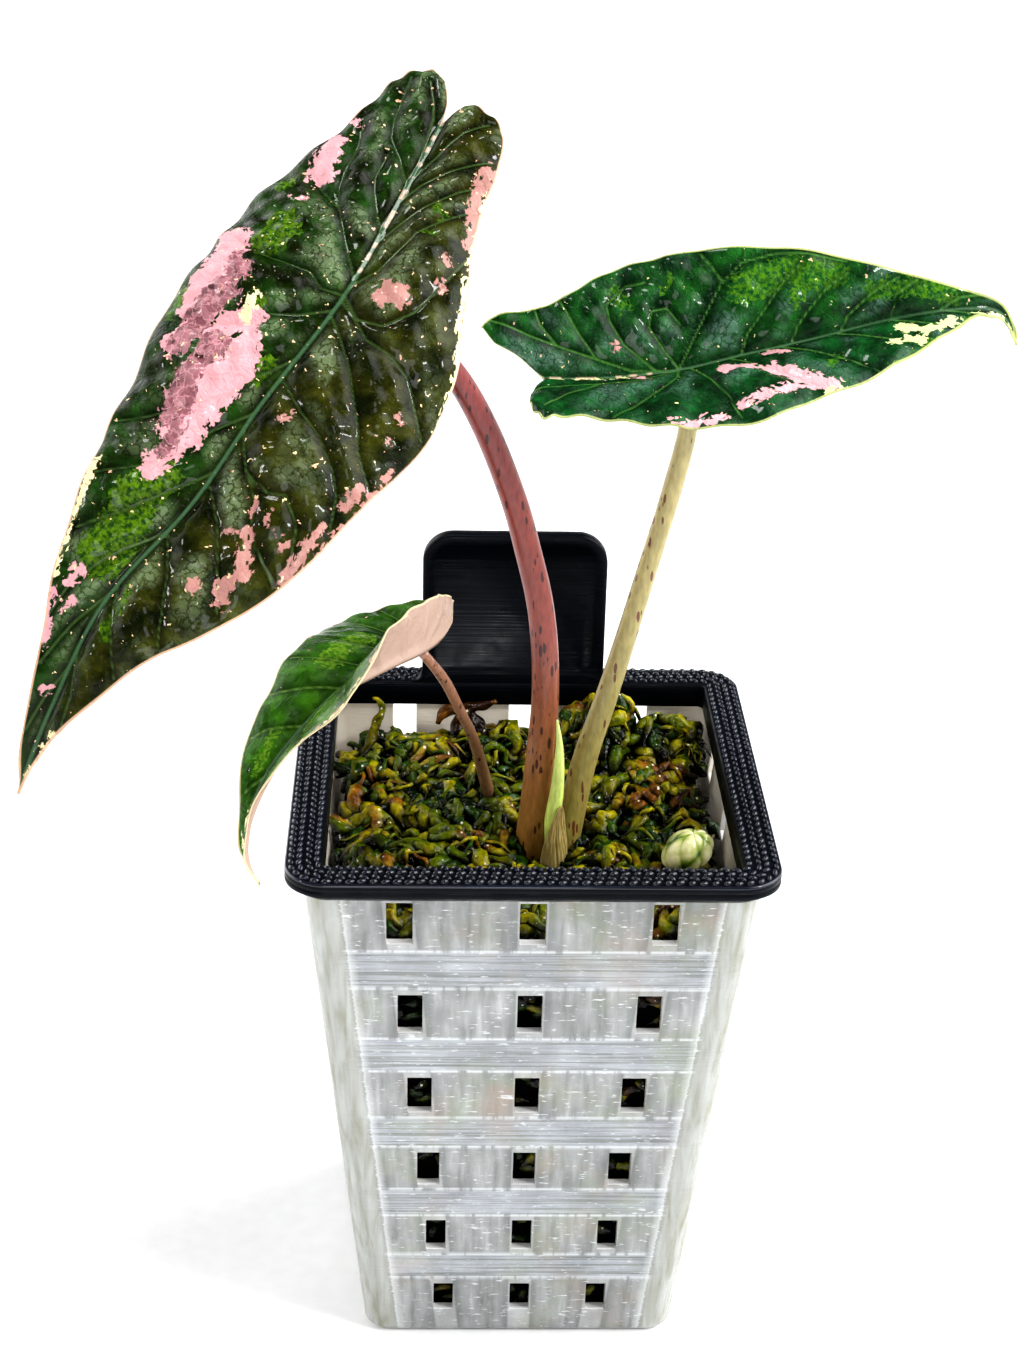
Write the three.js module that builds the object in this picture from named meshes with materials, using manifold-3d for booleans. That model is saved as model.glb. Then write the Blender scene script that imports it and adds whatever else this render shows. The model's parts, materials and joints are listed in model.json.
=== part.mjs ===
// A variegated jewel alocasia growing in wet sphagnum, in a tapered printed net pot with a label collar.
// Millimetres, +Z up. The origin is the middle of the pot's foot and the pot's front faces -Y.
import * as THREE from 'three';
import { mergeVertices } from 'three/addons/utils/BufferGeometryUtils.js';
import Module from 'manifold-3d';

const wasm = await Module();
wasm.setup();

// Driving dimensions

const GAP = 0.3;

const POT_FOOT_WIDTH = 58.44;
const POT_HEIGHT = 105;
const POT_WALL = 2;
const POT_FLOOR = 2;
const POT_CORNER = 4.5;
const POT_FOOT_ROUNDING = 1.6;
const WALL_LEAN = 0.099;

// Window rows from the top down: lowest edge, highest edge, width, distance between columns
const WINDOW_ROWS = [
  [92.6, 101.2, 4.5, 22.85],
  [73.2, 81.4, 4.3, 20.96],
  [54.9, 62.8, 4.3, 19.19],
  [37.6, 45.2, 4.0, 17.49],
  [21.5, 28.6, 3.6, 15.97],
  [6.0, 12.5, 3.6, 14.41],
];
const DRAIN_HOLE = 3.6;
const DRAIN_SPACING = 14.4;

const COLLAR_WIDTH = 85;
const COLLAR_TOP = 107.04;
const COLLAR_CORNER = 7.5;
const COLLAR_OPENING = 71.64;
const COLLAR_EDGE = 0.6;
const COLLAR_FACE = 2.9;
const COLLAR_CHAMFER_FOOT = 102;
const COLLAR_SKIRT_FOOT = 101.74;

const TAB_CENTRE_X = -1.75;
const TAB_WIDTH = 35.5;
const TAB_TOP = 137.7;
const TAB_FRONT_Y = 35.9;
const TAB_THICKNESS = 2.9;
const TAB_CORNER = 5.8;
const TAB_FOOT_FILLET = 2.2;
const TAB_BORDER = 2.1;
const TAB_RECESS = 0.7;

const MOSS_LEVEL = 93.5;
const MOSS_SLOPE = 0.07;
const MOSS_SHOULDER = 84;
const MOSS_STRANDS = 44;
const MOSS_TOP_HALF = 34.6;
const MOSS_SHOULDER_DROOP = 2.5;
const MOSS_DETAIL = 0.08;

const BLADE_THICKNESS = 0.8;
const MIDRIB_HALF_WIDTH = 1.4;

// Small tools for points, tables and random draws

function mulberry(seed) {
  let state = seed;
  return () => {
    state = (state + 0x6d2b79f5) | 0;
    let t = Math.imul(state ^ (state >>> 15), 1 | state);
    t = (t + Math.imul(t ^ (t >>> 7), 61 | t)) ^ t;
    return ((t ^ (t >>> 14)) >>> 0) / 4294967296;
  };
}

// A smooth value between rows of numbers, at row position s
function catmullRom(rows, s) {
  const last = rows.length - 1;
  const i = Math.min(Math.floor(Math.max(s, 0)), last - 1);
  const t = s - i;
  const b = rows[i];
  const c = rows[i + 1];
  const a = rows[i - 1] ?? b.map((v, k) => 2 * v - c[k]);
  const d = rows[i + 2] ?? c.map((v, k) => 2 * v - b[k]);
  return b.map((v, k) => 0.5 * (2 * v + (c[k] - a[k]) * t + (2 * a[k] - 5 * v + 4 * c[k] - d[k]) * t * t
    + (3 * v - a[k] - 3 * c[k] + d[k]) * t * t * t));
}

// A smooth value from rows that start with their own place x
function tableAt(rows, x) {
  const last = rows.length - 1;
  const at = Math.min(Math.max(x, rows[0][0]), rows[last][0]);
  let i = 0;
  while (i < last - 1 && at >= rows[i + 1][0]) i += 1;
  const slope = (j, k) => {
    const from = rows[Math.max(j - 1, 0)];
    const to = rows[Math.min(j + 1, last)];
    return (to[k] - from[k]) / (to[0] - from[0]);
  };
  const h = rows[i + 1][0] - rows[i][0];
  const t = (at - rows[i][0]) / h;
  return rows[i].slice(1).map((v, n) => {
    const k = n + 1;
    return (2 * t ** 3 - 3 * t ** 2 + 1) * v + (t ** 3 - 2 * t ** 2 + t) * h * slope(i, k)
      + (3 * t ** 2 - 2 * t ** 3) * rows[i + 1][k] + (t ** 3 - t ** 2) * h * slope(i + 1, k);
  });
}

const vector = (p) => new THREE.Vector3(p[0], p[1], p[2]);

function curveThrough(points) {
  return new THREE.CatmullRomCurve3(points.map(vector), false, 'catmullrom', 0.5);
}

// Solids from loops and sheets

function geometryOf(points, triangles) {
  const geometry = new THREE.BufferGeometry();
  geometry.setAttribute('position', new THREE.Float32BufferAttribute(points.flatMap((p) => [p.x, p.y, p.z]), 3));
  geometry.setIndex(triangles.flat());
  return geometry;
}

function signedVolume(points, triangles) {
  const cross = new THREE.Vector3();
  return triangles.reduce((sum, [a, b, c]) => sum + points[a].dot(cross.crossVectors(points[b], points[c])), 0) / 6;
}

function closedGeometry(points, triangles) {
  const outward = signedVolume(points, triangles) > 0;
  return geometryOf(points, outward ? triangles : triangles.map(([a, b, c]) => [a, c, b]));
}

// Joins loops of equal length, and closes the ends with fans or, for a ring, onto each other
function loft(loops, ring = false) {
  const count = loops[0].length;
  const points = loops.flat();
  const triangles = [];
  const bands = ring ? loops.length : loops.length - 1;
  for (let band = 0; band < bands; band += 1) {
    const low = band * count;
    const high = ((band + 1) % loops.length) * count;
    for (let k = 0; k < count; k += 1) {
      const next = (k + 1) % count;
      triangles.push([low + k, low + next, high + next], [low + k, high + next, high + k]);
    }
  }
  if (!ring) {
    const middle = (loop) => loop.reduce((sum, p) => sum.add(p), new THREE.Vector3()).divideScalar(count);
    const start = points.push(middle(loops[0])) - 1;
    const end = points.push(middle(loops.at(-1))) - 1;
    const top = (loops.length - 1) * count;
    for (let k = 0; k < count; k += 1) {
      const next = (k + 1) % count;
      triangles.push([start, next, k], [end, top + k, top + next]);
    }
  }
  return closedGeometry(points, triangles);
}

function toSolid(geometry) {
  const bare = geometry.clone();
  bare.deleteAttribute('normal');
  bare.deleteAttribute('uv');
  const merged = mergeVertices(bare, 1e-4);
  return new wasm.Manifold(new wasm.Mesh({
    numProp: 3,
    vertProperties: new Float32Array(merged.attributes.position.array),
    triVerts: new Uint32Array(merged.index.array),
  }));
}

function fromSolid(solid) {
  const mesh = solid.getMesh();
  const geometry = new THREE.BufferGeometry();
  geometry.setAttribute('position', new THREE.BufferAttribute(new Float32Array(mesh.vertProperties), 3));
  geometry.setIndex(new THREE.BufferAttribute(new Uint32Array(mesh.triVerts), 1));
  return geometry;
}

// Cutting can leave crumbs, and a grown piece keeps only its main body
function mainBody(solid) {
  return solid.decompose().reduce((best, piece) => (piece.volume() > best.volume() ? piece : best));
}

function boxSolid(width, depth, height, x, y, z) {
  return toSolid(new THREE.BoxGeometry(width, depth, height).translate(x, y, z));
}

function roundedSquare(half, radius, z, cornerSteps = 4) {
  const loop = [];
  for (let corner = 0; corner < 4; corner += 1) {
    const quarter = (corner * Math.PI) / 2;
    for (let step = 0; step <= cornerSteps; step += 1) {
      const angle = quarter + (step / cornerSteps) * (Math.PI / 2);
      const sideX = Math.sign(Math.cos(quarter + Math.PI / 4));
      const sideY = Math.sign(Math.sin(quarter + Math.PI / 4));
      const inset = half - radius;
      loop.push(new THREE.Vector3(sideX * inset + radius * Math.cos(angle), sideY * inset + radius * Math.sin(angle), z));
    }
  }
  return loop;
}

// The same outline as evenly spaced points, for surfaces that need points on the straight sides too
function spacedSquare(half, radius, z, count) {
  const path = new THREE.Path();
  const inset = half - radius;
  [[1, 1], [-1, 1], [-1, -1], [1, -1]].forEach(([sideX, sideY], quarter) => {
    const from = (quarter * Math.PI) / 2;
    path.absarc(sideX * inset, sideY * inset, radius, from, from + Math.PI / 2, false);
  });
  path.closePath();
  return path.getSpacedPoints(count).slice(0, count).map((p) => new THREE.Vector3(p.x, p.y, z));
}

// A tube of changing radius along a smooth curve, with flat ends
function tube(points, radii, sides, steps, grow = 0) {
  const curve = curveThrough(points);
  const frames = curve.computeFrenetFrames(steps, false);
  const rows = radii.map((r) => [r]);
  const loops = [];
  for (let i = 0; i <= steps; i += 1) {
    const share = i / steps;
    const radius = catmullRom(rows, share * (rows.length - 1))[0] + grow;
    const centre = curve.getPointAt(share);
    if (grow > 0 && i === 0) centre.addScaledVector(frames.tangents[i], -grow);
    if (grow > 0 && i === steps) centre.addScaledVector(frames.tangents[i], grow);
    const loop = [];
    for (let k = 0; k < sides; k += 1) {
      const angle = (k / sides) * Math.PI * 2;
      loop.push(centre.clone()
        .addScaledVector(frames.normals[i], radius * Math.cos(angle))
        .addScaledVector(frames.binormals[i], radius * Math.sin(angle)));
    }
    loops.push(loop);
  }
  return loft(loops);
}

// Pot

const wallHalf = (z) => POT_FOOT_WIDTH / 2 + WALL_LEAN * z;

function makePot() {
  const loops = [];
  for (const degrees of [0, 30, 60, 90]) {
    const angle = THREE.MathUtils.degToRad(degrees);
    const z = POT_FOOT_ROUNDING * (1 - Math.cos(angle));
    const inset = POT_FOOT_ROUNDING * (1 - Math.sin(angle));
    loops.push(roundedSquare(wallHalf(z) - inset, POT_CORNER, z));
  }
  const innerCorner = POT_CORNER - POT_WALL;
  loops.push(roundedSquare(wallHalf(POT_HEIGHT), POT_CORNER, POT_HEIGHT));
  loops.push(roundedSquare(wallHalf(POT_HEIGHT) - POT_WALL, innerCorner, POT_HEIGHT));
  loops.push(roundedSquare(wallHalf(POT_FLOOR + 2) - POT_WALL, innerCorner, POT_FLOOR + 2));
  loops.push(roundedSquare(wallHalf(POT_FLOOR) - POT_WALL - 2, innerCorner, POT_FLOOR));
  let pot = toSolid(loft(loops));
  const reach = 100;
  for (const [low, high, width, spacing] of WINDOW_ROWS) {
    for (const column of [-1, 0, 1]) {
      const middle = (low + high) / 2;
      pot = pot.subtract(boxSolid(width, reach, high - low, column * spacing, 0, middle));
      pot = pot.subtract(boxSolid(reach, width, high - low, 0, column * spacing, middle));
    }
  }
  for (const column of [-1, 0, 1]) {
    for (const row of [-1, 0, 1]) {
      if (column === 0 && row === 0) continue;
      pot = pot.subtract(boxSolid(DRAIN_HOLE, DRAIN_HOLE, 3 * POT_FLOOR, column * DRAIN_SPACING, row * DRAIN_SPACING, 0));
    }
  }
  return pot;
}

// Collar with its label tab, printed as one piece

function tabOutline(inset, foot) {
  const half = TAB_WIDTH / 2 - inset;
  const corner = TAB_CORNER - inset;
  const top = TAB_TOP - inset;
  const shape = new THREE.Shape();
  shape.moveTo(-half, foot);
  shape.lineTo(half, foot);
  shape.lineTo(half, top - corner);
  shape.absarc(half - corner, top - corner, corner, 0, Math.PI / 2, false);
  shape.lineTo(-half + corner, top);
  shape.absarc(-half + corner, top - corner, corner, Math.PI / 2, Math.PI, false);
  shape.lineTo(-half, foot);
  return shape;
}

// A quarter-round fillet where the tab meets the collar, on one side of it
function footFillet(side) {
  const edge = (side * TAB_WIDTH) / 2;
  const shape = new THREE.Shape();
  const sink = 0.5;
  shape.moveTo(edge - side * sink, COLLAR_TOP - sink);
  shape.lineTo(edge + side * TAB_FOOT_FILLET, COLLAR_TOP - sink);
  shape.lineTo(edge + side * TAB_FOOT_FILLET, COLLAR_TOP);
  const steps = 3;
  for (let step = 1; step <= steps; step += 1) {
    const angle = (step / steps) * (Math.PI / 2);
    shape.lineTo(edge + side * TAB_FOOT_FILLET * (1 - Math.sin(angle)),
      COLLAR_TOP + TAB_FOOT_FILLET * (1 - Math.cos(angle)));
  }
  shape.lineTo(edge - side * sink, COLLAR_TOP + TAB_FOOT_FILLET);
  return shape;
}

function standing(shape, thickness, frontY) {
  const geometry = new THREE.ExtrudeGeometry(shape, { depth: thickness, bevelEnabled: false, curveSegments: 5 });
  return toSolid(geometry.rotateX(Math.PI / 2).translate(TAB_CENTRE_X, frontY + thickness, 0));
}

function makeCollar() {
  const half = COLLAR_WIDTH / 2;
  const faceFoot = COLLAR_TOP - COLLAR_FACE;
  const grooveTop = POT_HEIGHT + GAP;
  const potCornerOut = POT_CORNER + GAP;
  const potCornerIn = POT_CORNER - POT_WALL - GAP;
  const skirtOut = (z) => wallHalf(z) - POT_WALL - GAP;
  const opening = COLLAR_OPENING / 2;
  const openingCorner = 1.2;
  const profile = [
    [half - COLLAR_EDGE, COLLAR_CORNER - COLLAR_EDGE, COLLAR_TOP],
    [half, COLLAR_CORNER, COLLAR_TOP - COLLAR_EDGE],
    [half, COLLAR_CORNER, faceFoot],
    [wallHalf(COLLAR_CHAMFER_FOOT) + GAP, potCornerOut, COLLAR_CHAMFER_FOOT],
    [wallHalf(grooveTop) + GAP, potCornerOut, grooveTop],
    [skirtOut(grooveTop), potCornerIn, grooveTop],
    [skirtOut(COLLAR_SKIRT_FOOT), potCornerIn, COLLAR_SKIRT_FOOT],
    [opening, openingCorner, COLLAR_SKIRT_FOOT],
    [opening, openingCorner, COLLAR_TOP - COLLAR_EDGE],
    [opening + COLLAR_EDGE, openingCorner + COLLAR_EDGE, COLLAR_TOP],
  ];
  const ring = toSolid(loft(profile.map(([h, r, z]) => roundedSquare(h, r, z, 5)), true));
  const sunk = COLLAR_TOP - 1;
  const recessFoot = COLLAR_TOP + TAB_BORDER;
  return ring
    .add(standing(tabOutline(0, sunk), TAB_THICKNESS, TAB_FRONT_Y))
    .add(standing(footFillet(1), TAB_THICKNESS, TAB_FRONT_Y))
    .add(standing(footFillet(-1), TAB_THICKNESS, TAB_FRONT_Y))
    .subtract(standing(tabOutline(TAB_BORDER, recessFoot), TAB_RECESS + 1, TAB_FRONT_Y - 1));
}

// Stems. Each is a list of places up its middle and its radius at each of them.

const PETIOLES = {
  large: {
    name: 'petiole_large',
    color: 0x7c3d33,
    points: [
      [1.6, -2.2, 83.4], [0.8, -3.6, 91.4], [1.4, -3.8, 100.8], [2.1, -3.8, 111.3], [2.7, -3.6, 121.6],
      [2.4, -3.4, 131.6], [1.2, -3, 141.3], [-1.1, -2.6, 150.8], [-3.8, -2.4, 160.3], [-8.9, -3, 173.5],
      [-14.8, -5.2, 184.4], [-22.5, -11.5, 193.6], [-31.9, -21.7, 202],
    ],
    radii: [2.4, 2.75, 2.6, 2.5, 2.45, 2.4, 2.35, 2.3, 2.25, 2.15, 2.1, 2, 1.8],
  },
  right: {
    name: 'petiole_right',
    color: 0xb6b06a,
    points: [
      [7.2, -0.4, 83.4], [7.5, -1.6, 91.6], [8.6, -1.4, 99.5], [10.6, -1, 109.9], [13.5, -0.5, 120.1],
      [16.2, 0, 130.1], [18.9, 0.3, 141], [21.3, 0.6, 150.7], [23.4, 0.8, 159.3], [25.9, 1, 171.5],
      [25.6, 0.9, 177.6], [23.8, 0.1, 182.9],
    ],
    radii: [2.2, 2.5, 2.45, 2.25, 2.1, 1.95, 1.85, 1.8, 1.75, 1.75, 1.65, 1.4],
  },
  small: {
    name: 'petiole_small',
    color: 0x97724c,
    points: [
      [0.2, 2.8, 84], [-4.8, 8.4, 89.6], [-6.9, 8, 97.7], [-9.6, 2, 110.5], [-12.6, -4, 120.4],
      [-15.5, -10, 129.3], [-19.5, -20.1, 139.5],
    ],
    radii: [1.1, 1.2, 1.15, 1, 0.95, 0.95, 0.85],
  },
};

const SPEAR = {
  points: [
    [5.2, -6, 84], [4.8, -6.3, 92.5], [4.5, -7, 99.6], [5.1, -7, 104.9], [5.4, -6.9, 111], [5.3, -6.6, 115.5],
    [4.8, -6.4, 119.8],
  ],
  radii: [1.2, 1.45, 1.45, 1.4, 1.15, 0.75, 0.2],
};

function petioleGeometry(stem, grow = 0) {
  return tube(stem.points, stem.radii, 8, 16, grow);
}

function spearGeometry(grow = 0) {
  return tube(SPEAR.points, SPEAR.radii, 8, 9, grow);
}

// Everything that stands in the crown or the moss needs a plain hole a little larger than itself
function stemHoles() {
  const holes = Object.values(PETIOLES).map((stem) => toSolid(petioleGeometry(stem, GAP)));
  return holes.reduce((all, hole) => all.add(hole), toSolid(spearGeometry(GAP)));
}

// Crown: the short upright stem with its feeding roots

const CROWN = { x: 3.6, y: -1.2, foot: 69.4, top: 89.5, radius: 8.5 };
const ROOTS = 7;

function crownBody(grow = 0) {
  const profile = [
    [0, 0.35], [0.12, 0.75], [0.35, 1], [0.65, 1], [0.86, 0.92], [1, 0.72],
  ];
  const height = CROWN.top - CROWN.foot;
  const sides = 10;
  const loops = profile.map(([share, width]) => {
    const z = CROWN.foot + share * height + (share === 0 ? -grow : 0) + (share === 1 ? grow : 0);
    const loop = [];
    for (let k = 0; k < sides; k += 1) {
      const angle = (k / sides) * Math.PI * 2;
      const radius = CROWN.radius * width + grow;
      loop.push(new THREE.Vector3(CROWN.x + radius * Math.cos(angle), CROWN.y + radius * Math.sin(angle), z));
    }
    return loop;
  });
  let solid = toSolid(loft(loops));
  const random = mulberry(11);
  for (let root = 0; root < ROOTS; root += 1) {
    const angle = ((root + 0.6 * random()) / ROOTS) * Math.PI * 2;
    const spread = 15 + 5 * random();
    const depth = 28 + 20 * random();
    const sway = 2.5 * (random() - 0.5);
    const start = CROWN.foot + 7;
    const places = [
      [0.55 * CROWN.radius, start], [1.1 * CROWN.radius, start - 2], [0.62 * spread, start - 0.3 * depth],
      [0.85 * spread, start - 0.65 * depth], [spread, start - depth],
    ].map(([out, z], i) => [
      CROWN.x + out * Math.cos(angle + 0.05 * i * sway), CROWN.y + out * Math.sin(angle + 0.05 * i * sway), z,
    ]);
    solid = solid.add(toSolid(tube(places, [1.3, 1.15, 0.95, 0.8, 0.5], 5, 8, grow)));
  }
  return solid;
}

// Moss: a lumpy block of wet sphagnum that fills the pot, with strands standing out of its top

const MOSS_CLUMPS = [
  // x, y, spread, height: the mounds that stand above the rest
  [15, 26, 6.5, 12], [30, 25, 7, 7.5], [26, 4, 8, 3], [-20, 18, 9, 2], [-9, 27, 7, 2.5],
  [-24, -12, 8, 2], [18, -20, 8, 1], [-8, -22, 9, 1], [28, -23, 4, 4],
];

// Long pieces that curl up out of the bed, each a list of places and its radius
const MOSS_CURLS = [
  { points: [[-29, 27, 94], [-28.6, 29.5, 98], [-27.2, 30, 102], [-28.2, 30.2, 105.5]], radii: [1.6, 1.4, 0.9, 0.5] },
  { points: [[-7, 27, 96], [-8.5, 30, 100], [-12.5, 30.6, 103.4], [-15, 29.6, 101.4]], radii: [1.5, 1.6, 1.3, 0.7] },
  { points: [[12, 24, 102], [14.5, 25.5, 107], [18.5, 26, 107.2], [21, 24, 102]], radii: [1.6, 1.6, 1.5, 1] },
  { points: [[25, -25, 94], [24.5, -21, 97.4], [29.5, -19.5, 97.6], [30, -24, 95]], radii: [1.6, 2, 2, 1.4] },
];

function mossHeight(x, y) {
  const rise = MOSS_CLUMPS.reduce((sum, [cx, cy, spread, height]) => {
    const far = ((x - cx) ** 2 + (y - cy) ** 2) / (spread * spread);
    return sum + height * Math.exp(-far);
  }, 0);
  const ripple = 0.9 * Math.sin(0.9 * x + 1.3) * Math.cos(0.8 * y) + 0.7 * Math.sin(0.55 * (x + y));
  return MOSS_LEVEL + MOSS_SLOPE * y + rise + ripple;
}

// One short fat strand that leaves the surface, bends over and comes back to it
function mossStrand(random) {
  const x = (random() - 0.5) * 62;
  const y = (random() - 0.5) * 60;
  const heading = random() * Math.PI * 2;
  const length = 6 + 5 * random();
  const lift = 1.4 + 1.6 * random();
  const turn = 1.6 * (random() - 0.5);
  const limit = 33;
  const places = [0, 0.35, 0.7, 1].map((share) => {
    const along = (share - 0.5) * length;
    const px = THREE.MathUtils.clamp(x + along * Math.cos(heading + turn * share), -limit, limit);
    const py = THREE.MathUtils.clamp(y + along * Math.sin(heading + turn * share), -limit, limit);
    const bow = Math.sin(share * Math.PI) * lift - 0.9;
    return [px, py, mossHeight(px, py) + bow];
  });
  return toSolid(tube(places, [0.7, 1.35, 1.3, 0.6], 4, 3));
}

function makeMoss(holes) {
  const innerHalf = (z) => wallHalf(z) - POT_WALL - GAP;
  const corner = POT_CORNER - POT_WALL;
  const foot = POT_FLOOR + GAP;
  const count = 32;
  const loops = [
    spacedSquare(innerHalf(foot) - 2.2, corner, foot, count),
    spacedSquare(innerHalf(foot + 2.2) - 0.1, corner, foot + 2.2, count),
    spacedSquare(innerHalf(MOSS_SHOULDER), corner, MOSS_SHOULDER, count),
  ];
  const rings = 8;
  for (let ring = 0; ring < rings; ring += 1) {
    const share = 1 - ring / rings;
    const half = MOSS_TOP_HALF * share;
    const droop = MOSS_SHOULDER_DROOP * Math.max(0, 4 * share - 3);
    loops.push(spacedSquare(half, half * 0.3, 0, count).map((p) => p.setZ(mossHeight(p.x, p.y) - droop)));
  }
  let moss = toSolid(loft(loops));
  for (const { points, radii } of MOSS_CURLS) moss = moss.add(toSolid(tube(points, radii, 6, 6)));
  const random = mulberry(5);
  for (let strand = 0; strand < MOSS_STRANDS; strand += 1) moss = moss.add(mossStrand(random));
  return mainBody(moss.subtract(holes).simplify(MOSS_DETAIL));
}

// Leaf blades. The midrib runs from between the lobes, over the petiole, to the drip tip.
// "along" is counted from the petiole toward the tip. Each row of a half is one side vein:
// [where it leaves the midrib, how far off it, where it meets the margin, how far off the midrib].
// "fold" is how steeply a half rises from the midrib and how it bends on toward the margin.

const BLADES = {
  large: {
    name: 'leaf_blade_large',
    color: 0x33451a,
    midrib: [
      [-14.6, 8, 227.5], [-17.4, 3, 222.9], [-22.6, -6, 215], [-32, -22, 202.2], [-44.6, -34, 188.2],
      [-54.9, -43, 175.1], [-68.2, -50, 161.5], [-76.7, -54, 145.3], [-82.8, -55, 130.6],
    ],
    petioleAt: 3,
    facing: [[-50, -0.25, -0.7, 0.62], [0, -0.25, -0.8, 0.55], [50, -0.3, -0.88, 0.4], [100, -0.45, -0.88, 0.15]],
    quilt: 0.9,
    ridge: 0.9,
    wave: 0.4,
    notch: 3,
    left: {
      fold: [[-50, 6, -0.9], [0, 10, -1.2], [40, 12, -1.4], [100, 14, -1.5]],
      rows: [
        [-46.4, 5.4, -46.4, 5.4], [-44.7, 2.7, -45.4, 8.4], [-41, 0.7, -43.2, 10.8], [-36, 0, -39, 12.6],
        [-28, 0, -32, 15.2], [-19, 0, -24, 19.2], [-10, 0, -15, 23.8], [-3, 0, -5, 25.4], [3, 0, 6, 25.1],
        [10, 0, 17, 24.1], [19, 0, 28, 20.9], [29, 0, 39.5, 19.2], [41, 0, 51, 15.5], [54, 0, 62, 9.6],
        [68, 0, 74, 5.4], [84, 0, 87, 2.8], [96.4, 0, 96.4, 0],
      ],
    },
    right: {
      fold: [[-50, 6, -3.2], [0, 12, -2.6], [30, 12, -1.8], [60, 14, -1.6], [100, 14, -1.5]],
      rows: [
        [-41.8, 4, -41.8, 4], [-40.9, 2.3, -41, 6.4], [-39, 0.9, -39.6, 9.4], [-36, 0, -36, 11.3],
        [-28, 0, -31, 12.3], [-19, 0, -24, 13], [-10, 0, -15, 15], [-3, 0, -5, 19], [3, 0, 5, 24],
        [10, 0, 15, 25], [19, 0, 27, 23], [29, 0, 38.5, 20.8], [41, 0, 49.5, 17.6], [54, 0, 61, 13.7],
        [68, 0, 73, 8], [84, 0, 86.5, 2], [96.4, 0, 96.4, 0],
      ],
    },
  },
  right: {
    name: 'leaf_blade_right',
    color: 0x1f4a20,
    midrib: [
      [-6.8, -5.2, 184], [0.4, -4, 182.8], [11.1, -2.2, 182.3], [23.8, 0, 183.2], [34.3, 2.1, 185.2],
      [46.9, 4.8, 187.5], [60.1, 7.9, 190.1], [71.4, 10.6, 191.3], [79.1, 12.4, 190.9], [82.6, 13.2, 188],
      [84.5, 13.5, 184.3],
    ],
    petioleAt: 3,
    facing: [[-45, -0.05, -0.34, 0.94], [0, 0, -0.57, 0.82], [60, 0.1, -0.76, 0.65], [80, 0.5, -0.35, 0.8]],
    quilt: 0.8,
    ridge: 0.8,
    wave: 0.3,
    notch: 3,
    left: {
      fold: [[-45, 27.4, -0.7], [0, 31.4, -0.8], [60, 31.4, -1]],
      rows: [
        [-28.4, 12.5, -28.4, 12.5], [-27.6, 9, -28, 16], [-25.5, 4, -26.5, 17.2], [-23, 0, -23.5, 16],
        [-17, 0, -18, 15.8], [-11, 0, -12, 17], [-5, 0, -6, 18.3], [0, 0, 0, 19.4], [6, 0, 9, 19.3],
        [13, 0, 18, 16.4], [21, 0, 27, 14.3], [30, 0, 36.5, 10.9], [40, 0, 45.5, 6.9], [50, 0, 53.5, 2.6],
        [58, 0, 60, 1.3], [66.3, 0, 66.3, 0],
      ],
    },
    right: {
      fold: [[-45, 27.4, -0.9], [0, 31.4, -1], [60, 31.4, -1.2]],
      rows: [
        [-34.4, 8.2, -34.4, 8.2], [-32.2, 5.4, -33, 10], [-28, 3.4, -29.5, 11.6], [-23, 0, -24, 12.8],
        [-17, 0, -19, 15], [-11, 0, -13.5, 17.6], [-5, 0, -7.5, 19.4], [0, 0, -1, 20.1], [6, 0, 8, 19.8],
        [13, 0, 18, 17.8], [21, 0, 27.5, 15], [30, 0, 36, 10.6], [40, 0, 44.5, 6.5], [50, 0, 53, 3.2],
        [58, 0, 60, 1.4], [66.3, 0, 66.3, 0],
      ],
    },
  },
  small: {
    name: 'leaf_blade_small',
    color: 0x3c6420,
    midrib: [
      [-13.8, -8, 142.4], [-16.3, -14, 140], [-19.6, -20, 139.9], [-23.4, -26, 140.7], [-27.4, -31, 140.8],
      [-33, -37, 140], [-38.5, -42, 135.9], [-43.4, -46, 130.6], [-46.7, -49, 124.1], [-47.7, -50, 118.6],
      [-47.2, -50, 114.3], [-45.6, -49, 110.5],
    ],
    petioleAt: 2,
    facing: [
      [-15, -0.2, 0.35, 0.9], [0, -0.3, 0.15, 0.9], [20, -0.45, -0.15, 0.85], [45, -0.7, -0.3, 0.6], [70, -0.9, -0.4, 0.1],
    ],
    quilt: 0.35,
    ridge: 0.5,
    wave: 0.2,
    notch: 2,
    left: {
      fold: [[-15, 35, -1.5], [0, 35, -1.6], [30, 30, -1.8], [70, 20, -1]],
      rows: [
        [-13.8, 2.5, -13.8, 2.5], [-12.6, 1, -13.2, 6], [-10, 0, -11.6, 9.6], [-6, 0, -9, 13.4], [-1, 0, -4, 17.2],
        [4, 0, 4, 17.8], [10, 0, 13.2, 15.6], [17, 0, 22, 12.6], [25, 0, 29, 9.8], [34, 0, 36, 7.8],
        [44, 0, 46.5, 2.8], [53, 0, 54.5, 1.2], [60.9, 0, 60.9, 0],
      ],
    },
    right: {
      fold: [
        [-15, 56, 2], [-5, 56, 2], [5, 52, 1.8], [12, 48, 0.8], [18, 42, -0.3], [24, 27, -0.5], [32, 24, -0.5],
        [46, 31, -0.5], [61, 31, -0.5],
      ],
      rows: [
        [-12.9, 2.5, -12.9, 2.5], [-12, 1, -11.9, 4.8], [-10, 0, -9.6, 7.2], [-6, 0, -6, 8.6], [-1, 0, -0.5, 9.2],
        [4, 0, 5.5, 9.6], [10, 0, 12.5, 10.4], [17, 0, 20.5, 13], [25, 0, 27.5, 12], [34, 0, 36, 6.2],
        [44, 0, 46, 2.4], [53, 0, 54.5, 1.3], [60.9, 0, 60.9, 0],
      ],
    },
  },
};

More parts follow.
